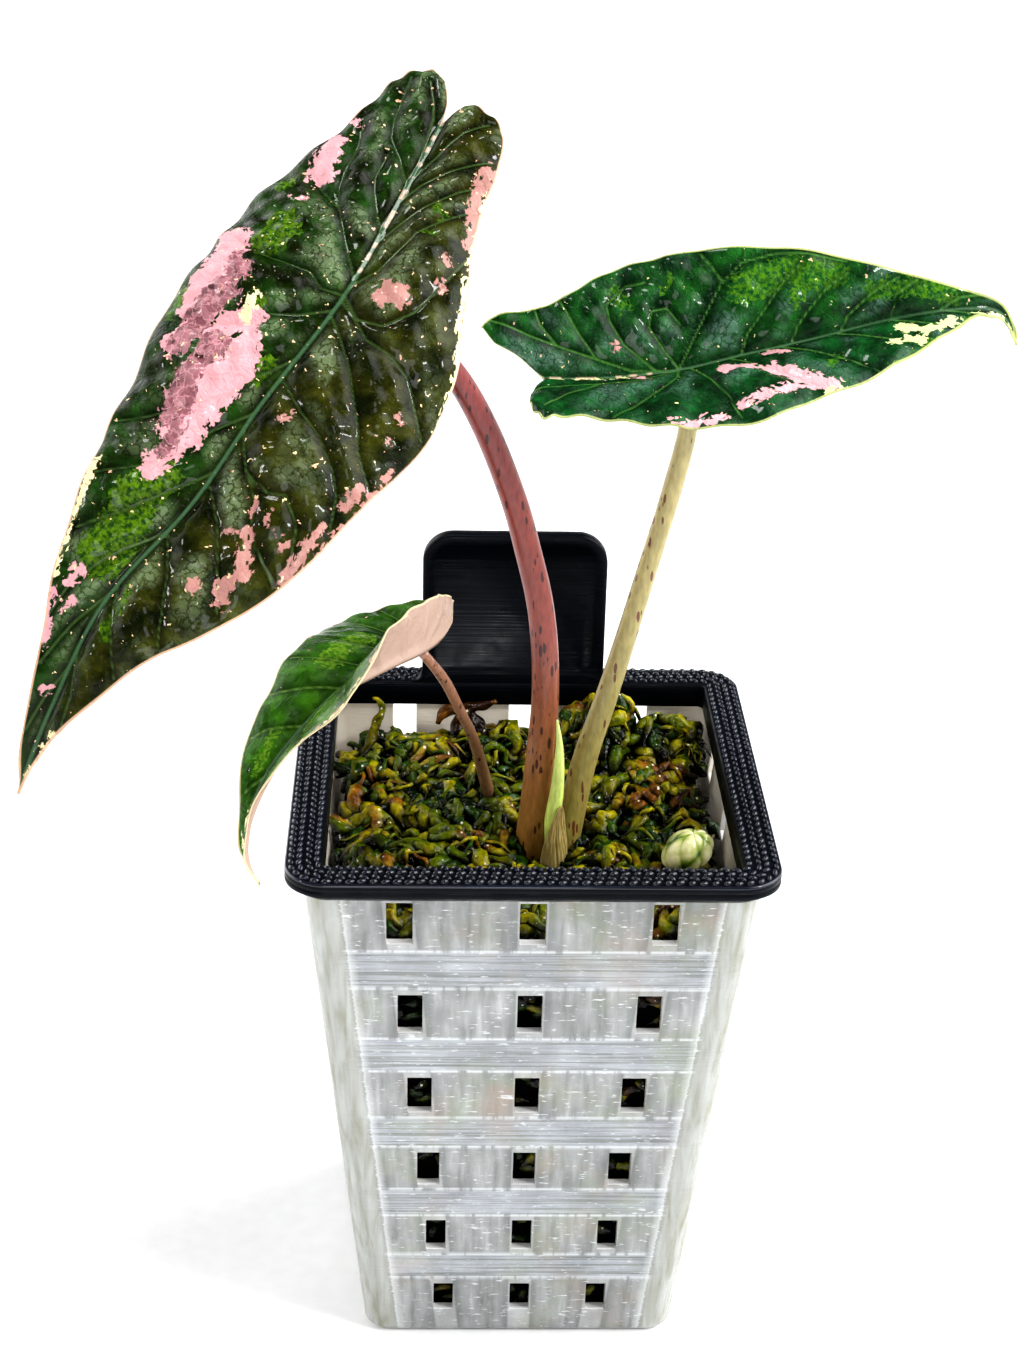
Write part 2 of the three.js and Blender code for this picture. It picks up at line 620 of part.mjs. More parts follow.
// Answers with the midrib's place and directions for any distance along it
function midribFrame(blade) {
  const curve = curveThrough(blade.midrib);
  curve.arcLengthDivisions = 800;
  const lengths = curve.getLengths();
  const before = lengths[Math.round((blade.petioleAt / (blade.midrib.length - 1)) * (lengths.length - 1))];
  const total = lengths.at(-1);
  return (along) => {
    const share = THREE.MathUtils.clamp((along + before) / total, 0, 1);
    const place = curve.getPointAt(share);
    const forward = curve.getTangentAt(share);
    place.addScaledVector(forward, along + before - share * total);
    const up = vector(tableAt(blade.facing, along));
    up.addScaledVector(forward, -up.dot(forward)).normalize();
    const side = new THREE.Vector3().crossVectors(forward, up);
    return { place, up, side };
  };
}

// Where the blade lies at row position s and share t of the way from midrib to margin
function bladePoint(blade, half, sign, frameAt, s, t) {
  const { rows } = half;
  const i = Math.min(Math.floor(s), rows.length - 2);
  const smooth = catmullRom(rows, s);
  const from = THREE.MathUtils.lerp(rows[i][0], rows[i + 1][0], s - i);
  const inner = s >= blade.notch ? 0 : Math.max(smooth[1], 0);
  const outer = Math.max(smooth[3], inner);
  const along = from + (smooth[2] - from) * t ** 1.4;
  const off = inner + (outer - inner) * t;
  const { place, up, side } = frameAt(along);
  const [rise, bend] = tableAt(half.fold, along).map(THREE.MathUtils.degToRad);
  const end = rise + bend * off;
  const across = (Math.sin(end) - Math.sin(rise)) / bend;
  const lifted = (Math.cos(rise) - Math.cos(end)) / bend;
  const swell = blade.quilt * Math.min(1, (outer - inner) / 16) * Math.sin(Math.PI * t) ** 0.8;
  const relief = swell * (0.5 - 0.5 * Math.cos(2 * Math.PI * s))
    + blade.wave * t ** 3 * Math.sin(1.7 * Math.PI * s + sign);
  return place
    .addScaledVector(side, sign * (across - relief * Math.sin(end)))
    .addScaledVector(up, lifted + relief * Math.cos(end));
}

// Gives a sheet of triangles its thickness and closes it round the edge
function thickSheet(points, triangles, underside, grow) {
  const sheet = mergeVertices(geometryOf(points, triangles), 1e-3);
  const index = Array.from(sheet.index.array);
  const faces = [];
  for (let i = 0; i < index.length; i += 3) {
    const [a, b, c] = index.slice(i, i + 3);
    if (a !== b && b !== c && c !== a) faces.push([a, b, c]);
  }
  sheet.setIndex(faces.flat());
  sheet.computeVertexNormals();
  const count = sheet.attributes.position.count;
  const middle = [];
  const normals = [];
  for (let i = 0; i < count; i += 1) {
    middle.push(new THREE.Vector3().fromBufferAttribute(sheet.attributes.position, i));
    normals.push(new THREE.Vector3().fromBufferAttribute(sheet.attributes.normal, i));
  }
  const over = middle.map((p, i) => p.clone().addScaledVector(normals[i], BLADE_THICKNESS / 2 + grow));
  const under = middle.map((p, i) => {
    const depth = BLADE_THICKNESS / 2 + grow + underside(p);
    return p.clone().addScaledVector(normals[i], -depth);
  });
  const edges = new Map();
  for (const [a, b, c] of faces) {
    for (const [from, to] of [[a, b], [b, c], [c, a]]) edges.set(`${from},${to}`, [from, to]);
  }
  const rim = [...edges.values()].filter(([from, to]) => !edges.has(`${to},${from}`));
  const closed = [
    ...faces,
    ...faces.map(([a, b, c]) => [a + count, c + count, b + count]),
    ...rim.flatMap(([from, to]) => [[from, from + count, to + count], [from, to + count, to]]),
  ];
  return closedGeometry([...over, ...under], closed);
}

const ACROSS = [0, 0.09, 0.28, 0.48, 0.68, 0.86, 1];
const STATIONS_PER_VEIN = 2;

function makeBlade(blade, grow = 0) {
  const frameAt = midribFrame(blade);
  const points = [];
  const triangles = [];
  const ribPlaces = [];
  for (const [half, sign] of [[blade.left, 1], [blade.right, -1]]) {
    const stations = (half.rows.length - 1) * STATIONS_PER_VEIN;
    const start = points.length;
    for (let i = 0; i <= stations; i += 1) {
      for (const t of ACROSS) points.push(bladePoint(blade, half, sign, frameAt, i / STATIONS_PER_VEIN, t));
      if (i / STATIONS_PER_VEIN >= blade.notch) ribPlaces.push(points[points.length - ACROSS.length]);
    }
    for (let i = 0; i < stations; i += 1) {
      for (let k = 0; k < ACROSS.length - 1; k += 1) {
        const a = start + i * ACROSS.length + k;
        const b = a + ACROSS.length;
        const quad = [[a, b, b + 1], [a, b + 1, a + 1]];
        triangles.push(...(sign > 0 ? quad : quad.map(([p, q, r]) => [p, r, q])));
      }
    }
  }
  // The midrib stands out of the underside and runs out before the drip tip
  const underside = (p) => {
    const distance = Math.min(...ribPlaces.map((rib) => rib.distanceTo(p)));
    return blade.ridge * Math.exp(-((distance / MIDRIB_HALF_WIDTH) ** 2));
  };
  return thickSheet(points, triangles, underside, grow);
}

// Papery scale leaf, dried brown, that wraps the foot of the rolled new leaf

const SCALE_LEAF = { foot: 87, height: 13.5, footRadius: 2.5, tipRadius: 1.9, wrap: 210, facing: -62, thickness: 0.6 };

function scaleLeafGeometry(grow = 0) {
  const spine = curveThrough(SPEAR.points);
  const spineFoot = SPEAR.points[0][2];
  const spineHeight = SPEAR.points.at(-1)[2] - spineFoot;
  const rows = 7;
  const columns = 8;
  const shell = (offset) => {
    const points = [];
    for (let i = 0; i <= rows; i += 1) {
      const share = i / rows;
      const z = SCALE_LEAF.foot - grow + share * (SCALE_LEAF.height + 2 * grow);
      const centre = spine.getPointAt((z - spineFoot) / spineHeight);
      const radius = THREE.MathUtils.lerp(SCALE_LEAF.footRadius, SCALE_LEAF.tipRadius, share) + offset;
      const wrap = THREE.MathUtils.degToRad(SCALE_LEAF.wrap) * Math.sqrt(1 - 0.96 * share) + (2 * grow) / radius;
      for (let k = 0; k <= columns; k += 1) {
        const angle = THREE.MathUtils.degToRad(SCALE_LEAF.facing) + (k / columns - 0.5) * wrap;
        points.push(new THREE.Vector3(centre.x + radius * Math.cos(angle), centre.y + radius * Math.sin(angle), z));
      }
    }
    return points;
  };
  const inner = shell(-grow);
  const points = [...inner, ...shell(SCALE_LEAF.thickness + grow)];
  const outer = inner.length;
  const at = (i, k) => i * (columns + 1) + k;
  const triangles = [];
  for (let i = 0; i < rows; i += 1) {
    for (let k = 0; k < columns; k += 1) {
      const [a, b, c, d] = [at(i, k), at(i, k + 1), at(i + 1, k + 1), at(i + 1, k)];
      triangles.push([a, c, b], [a, d, c], [a + outer, b + outer, c + outer], [a + outer, c + outer, d + outer]);
    }
  }
  const edge = [];
  for (let k = 0; k <= columns; k += 1) edge.push(at(0, k));
  for (let i = 1; i <= rows; i += 1) edge.push(at(i, columns));
  for (let k = columns - 1; k >= 0; k -= 1) edge.push(at(rows, k));
  for (let i = rows - 1; i >= 1; i -= 1) edge.push(at(i, 0));
  edge.forEach((from, i) => {
    const to = edge[(i + 1) % edge.length];
    triangles.push([from, to, to + outer], [from, to + outer, from + outer]);
  });
  return closedGeometry(points, triangles);
}

// Assembly

const plant = new THREE.Group();

function addPiece(name, geometry, color, roughness, metalness = 0) {
  const piece = new THREE.Mesh(geometry, new THREE.MeshStandardMaterial({ color, roughness, metalness }));
  piece.name = name;
  plant.add(piece);
}

const holes = stemHoles().add(toSolid(scaleLeafGeometry(GAP)));

addPiece('pot', fromSolid(makePot()), 0xc9cccd, 0.35);
addPiece('collar', fromSolid(makeCollar()), 0x0b0f18, 0.35);
addPiece('moss', fromSolid(makeMoss(holes.add(crownBody(GAP)))), 0x5a6b12, 0.4);
addPiece('crown', fromSolid(mainBody(crownBody().subtract(holes))), 0x6d5335, 0.8);
addPiece('scale_leaf', scaleLeafGeometry(), 0x8a6a35, 0.7);
addPiece('rolled_new_leaf', spearGeometry(), 0xc5d96a, 0.45);
for (const [leaf, stem] of Object.entries(PETIOLES)) {
  const blade = BLADES[leaf];
  // The petiole ends against the underside of its blade
  const cut = toSolid(petioleGeometry(stem)).subtract(toSolid(makeBlade(blade, GAP)));
  addPiece(stem.name, fromSolid(mainBody(cut)), stem.color, 0.4);
  addPiece(blade.name, makeBlade(blade), blade.color, 0.35);
}

export default plant;
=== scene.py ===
"""A variegated jewel alocasia in wet sphagnum, in a printed net pot with a label collar.

Tables are in millimetres, +Z up, with the origin in the middle of the pot's foot and the front at -Y.
"""
import json
import math
from functools import partial

import bmesh
import bpy
import numpy as np
from mathutils import Matrix, Vector

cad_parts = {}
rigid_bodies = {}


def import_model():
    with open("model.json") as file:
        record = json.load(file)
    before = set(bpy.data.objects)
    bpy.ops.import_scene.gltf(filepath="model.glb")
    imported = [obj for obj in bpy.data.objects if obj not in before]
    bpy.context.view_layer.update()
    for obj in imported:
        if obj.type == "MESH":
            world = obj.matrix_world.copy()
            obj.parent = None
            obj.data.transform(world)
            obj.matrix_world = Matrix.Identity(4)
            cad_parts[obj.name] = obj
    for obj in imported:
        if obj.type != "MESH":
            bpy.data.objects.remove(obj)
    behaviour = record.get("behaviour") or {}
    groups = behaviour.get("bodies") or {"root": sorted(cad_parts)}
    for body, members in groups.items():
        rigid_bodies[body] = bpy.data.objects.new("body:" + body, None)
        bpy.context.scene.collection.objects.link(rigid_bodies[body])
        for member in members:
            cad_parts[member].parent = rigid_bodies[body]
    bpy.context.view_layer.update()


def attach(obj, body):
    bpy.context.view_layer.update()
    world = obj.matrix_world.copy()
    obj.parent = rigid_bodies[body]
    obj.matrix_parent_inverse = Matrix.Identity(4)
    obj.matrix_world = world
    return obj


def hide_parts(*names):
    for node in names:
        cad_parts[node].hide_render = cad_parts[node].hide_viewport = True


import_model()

MM = 0.001

# The photograph's camera: place, turn, tilt and roll, and its lens on a 36 mm film
CAMERA_PLACE = (-18.3, -396.5, 316.7)
CAMERA_YAW = 2.18
CAMERA_PITCH = 25.9
CAMERA_ROLL = 1.48
CAMERA_LENS = 64.56


# Colours, nodes and meshes

def linear(code):
    """A Blender colour from an sRGB hex code. Any other value stays as it is."""
    if not str(code).startswith("#"):
        return code
    channels = [int(code[i:i + 2], 16) / 255 for i in (1, 3, 5)]
    return tuple(c / 12.92 if c <= 0.04045 else ((c + 0.055) / 1.055) ** 2.4 for c in channels) + (1.0,)


def add_node(tree, kind, sockets=(), stops=(), **settings):
    """Adds a node with its settings and links. A kind can leave out its first part, and each word after it is
    the node's choice in the list that has it. sockets holds values, nodes or outputs, in the order of the
    inputs or by their names."""
    kind, *choices = kind.split()
    starts = ("ShaderNode", "GeometryNode", "FunctionNode", "")
    node = tree.nodes.new(next(start + kind for start in starts if hasattr(bpy.types, start + kind)))
    if kind == "Mix":
        node.data_type = "RGBA"
    for choice in choices:
        lists = (p for p in node.bl_rna.properties if p.type == "ENUM" and choice in p.enum_items)
        setattr(node, next(lists).identifier, choice)
    for key, value in settings.items():
        setattr(node, key, value)
    for number, (position, colour) in enumerate(stops):
        ramp = node.color_ramp.elements
        element = ramp[number] if number < len(ramp) else ramp.new(position)
        element.position = position
        element.color = linear(colour)
    shown = [socket for socket in node.inputs if socket.enabled]
    for key, value in sockets.items() if isinstance(sockets, dict) else enumerate(sockets):
        socket = shown[key] if isinstance(key, int) else next(s for s in shown if s.name == key)
        if isinstance(value, bpy.types.Node):
            value = next(s for s in value.outputs if s.enabled)
        if isinstance(value, bpy.types.NodeSocket):
            tree.links.new(value, socket)
        else:
            socket.default_value = linear(value)
    return node


def new_material(name):
    """A material and what adds nodes to it."""
    material = bpy.data.materials.new(name)
    material.use_nodes = True
    material.node_tree.nodes.clear()
    return material, partial(add_node, material.node_tree)


def closed(material, add, sockets):
    """The material with its surface."""
    add("OutputMaterial", {"Surface": add("BsdfPrincipled", sockets)})
    return material


def new_mesh(name, points, faces, values=None):
    """A mesh from points in millimetres; values are numbers kept at each point, one or three of them."""
    mesh = bpy.data.meshes.new(name)
    mesh.from_pydata((np.asarray(points, float) * MM).tolist(), [], faces)
    for key, numbers in (values or {}).items():
        numbers = np.asarray(numbers, float)
        kind, field = ("FLOAT", "value") if numbers.ndim == 1 else ("FLOAT_VECTOR", "vector")
        mesh.attributes.new(key, kind, "POINT").data.foreach_set(field, numbers.ravel())
    mesh.shade_smooth()
    mesh.update()
    return mesh


def new_object(name, mesh, material):
    piece = bpy.data.objects.new(name, mesh)
    bpy.context.scene.collection.objects.link(piece)
    mesh.materials.append(material)
    return piece


def hand_in(piece, slot, *nodes):
    """Seats a finished piece on the plant's one body, in place of the CAD nodes that it stands for."""
    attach(piece, "root")
    if nodes:
        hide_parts(*nodes)


def settled(piece, name, material):
    """Turns a piece and its modifiers into a plain mesh piece of that name and one material."""
    mesh = bpy.data.meshes.new_from_object(piece.evaluated_get(bpy.context.evaluated_depsgraph_get()))
    mesh.materials.clear()
    mesh.polygons.foreach_set("material_index", [0] * len(mesh.polygons))
    bpy.data.objects.remove(piece)
    mesh.name = name
    return new_object(name, mesh, material)


def node_group(name, **kinds):
    """An empty geometry tree with named inputs, what adds nodes to it, and its inputs. kinds lists the names
    of the inputs of each kind."""
    tree = bpy.data.node_groups.new(name, "GeometryNodeTree")
    tree.interface.new_socket("Geometry", in_out="OUTPUT", socket_type="NodeSocketGeometry")
    for kind, labels in {"Geometry": ["Geometry"], **kinds}.items():
        for label in labels:
            tree.interface.new_socket(label, in_out="INPUT", socket_type="NodeSocket" + kind)
    add = partial(add_node, tree)
    return tree, add, add("NodeGroupInput").outputs


def group_result(add, geometry, material, smooth=True):
    """The end of a geometry tree: its shading, its material and its output."""
    shaded = add("SetShadeSmooth", {"Geometry": geometry, "Shade Smooth": smooth})
    add("NodeGroupOutput", [add("SetMaterial", {"Geometry": shaded, "Material": material})])


def grow_with(piece, tree, values):
    """Puts a geometry tree on a piece and sets its named inputs."""
    modifier = piece.modifiers.new(tree.name, "NODES")
    modifier.node_group = tree
    for item in tree.interface.items_tree:
        if item.in_out == "INPUT" and item.name in values:
            modifier[item.identifier] = values[item.name]


# Curves and tables

def smooth_rows(rows, s):
    """Values between rows of numbers at the row positions s, on a curve through the rows."""
    rows = np.asarray(rows, float)
    last = len(rows) - 1
    i = np.clip(np.floor(np.maximum(s, 0)).astype(int), 0, last - 1)
    t = (s - i)[:, None]
    b, c = rows[i], rows[i + 1]
    a = np.where((i > 0)[:, None], rows[np.maximum(i - 1, 0)], 2 * b - c)
    d = np.where((i + 2 <= last)[:, None], rows[np.minimum(i + 2, last)], 2 * c - b)
    return 0.5 * (2 * b + (c - a) * t + (2 * a - 5 * b + 4 * c - d) * t ** 2
            + (3 * b - a - 3 * c + d) * t ** 3)


def table_at(rows, x):
    """Smooth values at x from rows that start with their own place."""
    rows = np.asarray(rows, float)
    places, values = rows[:, 0], rows[:, 1:]
    x = np.clip(x, places[0], places[-1])
    slopes = np.gradient(values, axis=0) / np.gradient(places)[:, None]
    i = np.clip(np.searchsorted(places, x, side="right") - 1, 0, len(places) - 2)
    h = (places[i + 1] - places[i])[:, None]
    t = (x - places[i])[:, None] / h
    return ((2 * t ** 3 - 3 * t ** 2 + 1) * values[i] + (t ** 3 - 2 * t ** 2 + t) * h * slopes[i]
            + (3 * t ** 2 - 2 * t ** 3) * values[i + 1] + (t ** 3 - t ** 2) * h * slopes[i + 1])


def dense_curve(points, samples=2000):
    """Places along a smooth curve through the points, and the length run at each of them."""
    places = smooth_rows(points, np.linspace(0, len(points) - 1, samples))
    lengths = np.r_[0, np.cumsum(np.linalg.norm(np.diff(places, axis=0), axis=1))]
    return places, lengths


def read_curve(values, lengths, at):
    return np.stack([np.interp(at, lengths, values[:, k]) for k in range(values.shape[1])], axis=1)


def units(vectors):
    return vectors / np.maximum(np.linalg.norm(vectors, axis=1), 1e-9)[:, None]


def grid_faces(rows, columns, closed=False):
    """Quads of a grid of rows by columns of points, wrapped round if closed."""
    wrap = columns if closed else columns - 1
    i, k = np.meshgrid(np.arange(rows - 1), np.arange(wrap), indexing="ij")
    after = (k + 1) % columns
    quads = np.stack([i * columns + k, i * columns + after, (i + 1) * columns + after, (i + 1) * columns + k],
            axis=-1)
    return quads.reshape(-1, 4).tolist()


def tube_points(points, radii, rings, sides, shape=None):
    """Rings of points round a smooth curve, and how far along it each lies; shape scales the radius."""
    places, lengths = dense_curve(points)
    at = np.linspace(0, lengths[-1], rings)
    centres = read_curve(places, lengths, at)
    forward = units(np.gradient(centres, axis=0))
    side = [np.cross(forward[0], (0.0, 1.0, 0.0))]
    for direction in forward[1:]:
        side.append(side[-1] - direction * np.dot(side[-1], direction))
    side = units(np.array(side))
    up = np.cross(side, forward)
    share = at / lengths[-1]
    radius = smooth_rows([[r] for r in radii], share * (len(radii) - 1))
    angle = np.linspace(0, 2 * math.pi, sides, endpoint=False)
    scale = radius * (shape(share[:, None], angle[None, :]) if shape else 1.0)
    ring = centres[:, None, :] + scale[..., None] * (
        np.cos(angle)[None, :, None] * side[:, None, :] + np.sin(angle)[None, :, None] * up[:, None, :])
    return ring.reshape(-1, 3), np.repeat(at, sides)


def capped(faces, rings, sides):
    """Adds the two end faces of a tube."""
    last = (rings - 1) * sides
    return faces + [list(range(sides))[::-1], [last + k for k in range(sides)]]


# Leaf blades. The tables are the blades' own: "along" counts from the petiole toward the tip,
# "off" counts from the midrib, + on the left half and - on the right half.

LARGE = {
    "midrib": [
        (-14.6, 8, 227.5), (-17.4, 3, 222.9), (-22.6, -6, 215), (-32, -22, 202.2), (-44.6, -34, 188.2),
        (-54.9, -43, 175.1), (-68.2, -50, 161.5), (-76.7, -54, 145.3), (-82.8, -55, 130.6),
    ],
    "petiole_at": 3,
    "facing": [
        (-50, -0.25, -0.7, 0.62), (0, -0.25, -0.8, 0.55), (50, -0.3, -0.88, 0.4), (100, -0.45, -0.88, 0.15),
    ],
    "quilt": 1.9, "ridge": 0.9, "wave": 0.4, "notch": 3,
    "left": {
        "fold": [(-50, 6, -0.9), (0, 10, -1.2), (40, 12, -1.4), (100, 14, -1.5)],
        "rows": [
            (-46.4, 5.4, -46.4, 5.4), (-44.7, 2.7, -45.4, 8.4), (-41, 0.7, -43.2, 10.8), (-36, 0, -39, 12.6),
            (-28, 0, -32, 15.2), (-19, 0, -24, 19.2), (-10, 0, -15, 23.8), (-3, 0, -5, 25.4), (3, 0, 6, 25.1),
            (10, 0, 17, 24.1), (19, 0, 28, 20.9), (29, 0, 39.5, 19.2), (41, 0, 51, 15.5), (54, 0, 62, 9.6),
            (68, 0, 74, 5.4), (84, 0, 87, 2.8), (96.4, 0, 96.4, 0),
        ],
    },
    "right": {
        "fold": [(-50, 6, -3.2), (0, 12, -2.6), (30, 12, -1.8), (60, 14, -1.6), (100, 14, -1.5)],
        "rows": [
            (-41.8, 4, -41.8, 4), (-40.9, 2.3, -41, 6.4), (-39, 0.9, -39.6, 9.4), (-36, 0, -36, 11.3),
            (-28, 0, -31, 12.3), (-19, 0, -24, 13), (-10, 0, -15, 15), (-3, 0, -5, 19), (3, 0, 5, 24),
            (10, 0, 15, 25), (19, 0, 27, 23), (29, 0, 38.5, 20.8), (41, 0, 49.5, 17.6), (54, 0, 61, 13.7),
            (68, 0, 73, 8), (84, 0, 86.5, 2), (96.4, 0, 96.4, 0),
        ],
    },
    "veins": [
        [(-23, 0), (-28, 3.7), (-31, 6.4), (-35, 7.6), (-40, 8), (-44, 8.5)],
        [(-28, 0), (-32, 0.8), (-37, 1.5), (-40, 2.7), (-44, 5)],
        [(-13, 0), (-16, 2.2), (-20, 4.4), (-23, 5.6), (-28, 5.6)],
        [(-3, 0), (-9, 4.6), (-15, 8.3), (-19, 10.2), (-23, 10.8), (-28, 11), (-34, 12.5)],
        [(-15, 8.3), (-18, 13), (-22, 17)], [(0, 0), (1, 3.8), (-1, 7), (-0.6, 14), (-1, 18.4), (-4, 24)],
        [(3, 0), (7, 4.1), (9.5, 8), (13, 9.7), (16, 14), (18, 19), (19, 23)],
        [(13, 0), (19, 3), (24, 5.5), (28, 9), (33, 14), (37, 18.6)],
        [(24, 0), (30, 4), (36, 6.5), (42, 10.5), (48, 15)], [(35, 0), (42, 4), (49, 7), (56, 11)],
        [(47, 0), (54, 3), (62, 6), (70, 7)], [(60, 0), (67, 2.5), (75, 4.6)],
        [(73, 0), (79, 1.6), (86, 2.5)], [(-20, 0), (-24, -2.1), (-28, -5.2), (-31, -8.5), (-33, -11)],
        [(-25, 0), (-30, -2.2), (-33, -3.1), (-36, -4.4), (-39, -7.5)],
        [(-11, 0), (-15, -2), (-20, -4.5), (-25, -8), (-28, -11)],
        [(-2, 0), (-6, -3), (-9, -3.8), (-15, -5.5), (-19, -8.5), (-23, -12)],
        [(0, 0), (3, -4.3), (2, -8.4), (-2, -11.4), (-8, -13), (-14, -14.5)],
        [(1, 0), (5, -7.5), (5, -12), (6, -16), (9, -20), (12, -24)],
        [(4, 0), (7, -4.1), (10, -8), (14, -12), (17, -15), (20, -17), (25, -22)],
        [(17, 0), (20, -6), (22, -11), (26, -16), (29, -18.4), (34, -20.5)],
        [(27, 0), (30, -2), (33, -4.6), (36, -8.5), (39, -10), (41, -12.5), (43, -18)],
        [(33, -4.6), (34, -9.3), (33, -12), (36, -16), (41, -18.7)], [(37, 0), (42, -6), (45, -9), (51, -15)],
        [(47, 0), (52, -5.3), (57, -8.8), (63, -12)], [(58, 0), (65, -4), (71, -8)],
        [(70, 0), (77, -2.5), (83, -3.4)],
    ],
    "marks": {
        "pink": [
            (3.2, [(-3, 22), (4, 21), (10, 20), (15, 19)]), (2.8, [(5, 17), (11, 16.5), (16, 17), (21, 17)]),
            (2.6, [(12, 10), (17, 13), (21, 11)]), (3.8, [(20, 8), (25, 11), (30, 9.5), (33, 8)]),
            (2.2, [(15, 8), (19, 5.5), (27, 6.5), (35, 7.5), (41, 8.8)]),
            (2.1, [(-28, 14.8), (-24, 14.7), (-20.5, 13.6)]), (1.3, [(-23, 16.2), (-20, 16)]),
            (0.8, [(-32, 13), (-32.6, 13.6)]), (0.9, [(-15, 14.2), (-14.5, 15.6)]),
            (1.5, [(-31, -11), (-26, -11.2), (-22, -12.6), (-17, -13.8)]), (2.2, [(-2.4, -6.4), (-3, -7.6)]),
            (0.8, [(-12, -11.4), (-11, -12)]), (0.8, [(-8, -12.6), (-7.4, -13.6)]),
            (0.8, [(21.5, -4.6), (23, -4.8)]), (0.9, [(11, -18.1), (12, -18.6)]),
            (0.9, [(36.5, -8.5), (37.5, -9.2)]), (0.7, [(36.6, -11.4), (38, -12.4)]),
            (0.8, [(37.8, -15), (38.6, -16)]), (0.9, [(49.4, -9.2), (50.8, -10)]),
            (1.1, [(40, -9.8), (43, -12.4), (45, -14.2)]), (0.7, [(41, -9), (41.6, -8)]),
            (1.5, [(47, -12.9), (49, -14.2)]), (1.1, [(26, -20.4), (30, -20.6)]),
            (1.1, [(34.6, -19), (38, -19.2), (42, -19)]),
            (0.6, [(18, -22.6), (23, -23.3), (28, -22.6), (34, -21.6), (40, -20.4)]),
            (0.7, [(15.6, -19.4), (16.6, -20)]), (1.4, [(60.4, 6.2), (62, 6.4)]),
            (1.2, [(64.5, 7.9), (67.5, 7.3), (71.5, 5.6)]), (0.8, [(64.6, 4.4), (65.6, 4.9)]),
            (0.7, [(77.6, 1.6), (78.8, 2)]), (0.5, [(81.8, 1.5), (82.4, 1.7)]),
        ],
        "mauve": [
            (2.8, [(3, 17.5), (7, 15.5), (11, 16)]), (2.6, [(11, 17), (16, 17), (21, 16)]),
            (3.0, [(19, 12), (25, 13), (31, 10.6)]), (1.6, [(33, 8.6), (37, 8.6)]),
        ],
        "cream": [
            (0.9, [(-27, -12), (-22, -14), (-16, -15.2), (-10, -16.4), (-3, -19.4), (3, -23.2), (9, -25)]),
            (1.0, [(8, 11.6), (12, 10.6)]), (0.7, [(46, 16.4), (50, 15), (59, 10.6), (62, 9)]),
            (0.8, [(84, -2.2), (88, -1.6), (94, -0.6)]),
        ],
        "lime": [
            (3.0, [(-8, 14.4), (-3, 15.8), (-9, 15.4)]), (1.3, [(-21, -6.6), (-20, -7.3)]),
            (0.9, [(-16, -6.8), (-15.4, -7.6)]), (1.5, [(9.4, 10.4), (12, 9)]), (1.6, [(16, 3.4), (20, 3.6)]),
            (1.6, [(14, 22.6), (17, 22)]), (1.3, [(-18.4, 18.4), (-17, 19.4)]),
            (4.2, [(41, 7), (46, 7), (51, 5.6), (56, 4.8)]), (1.2, [(58, -2.6), (66, -3.4)]),
        ],
    },
}

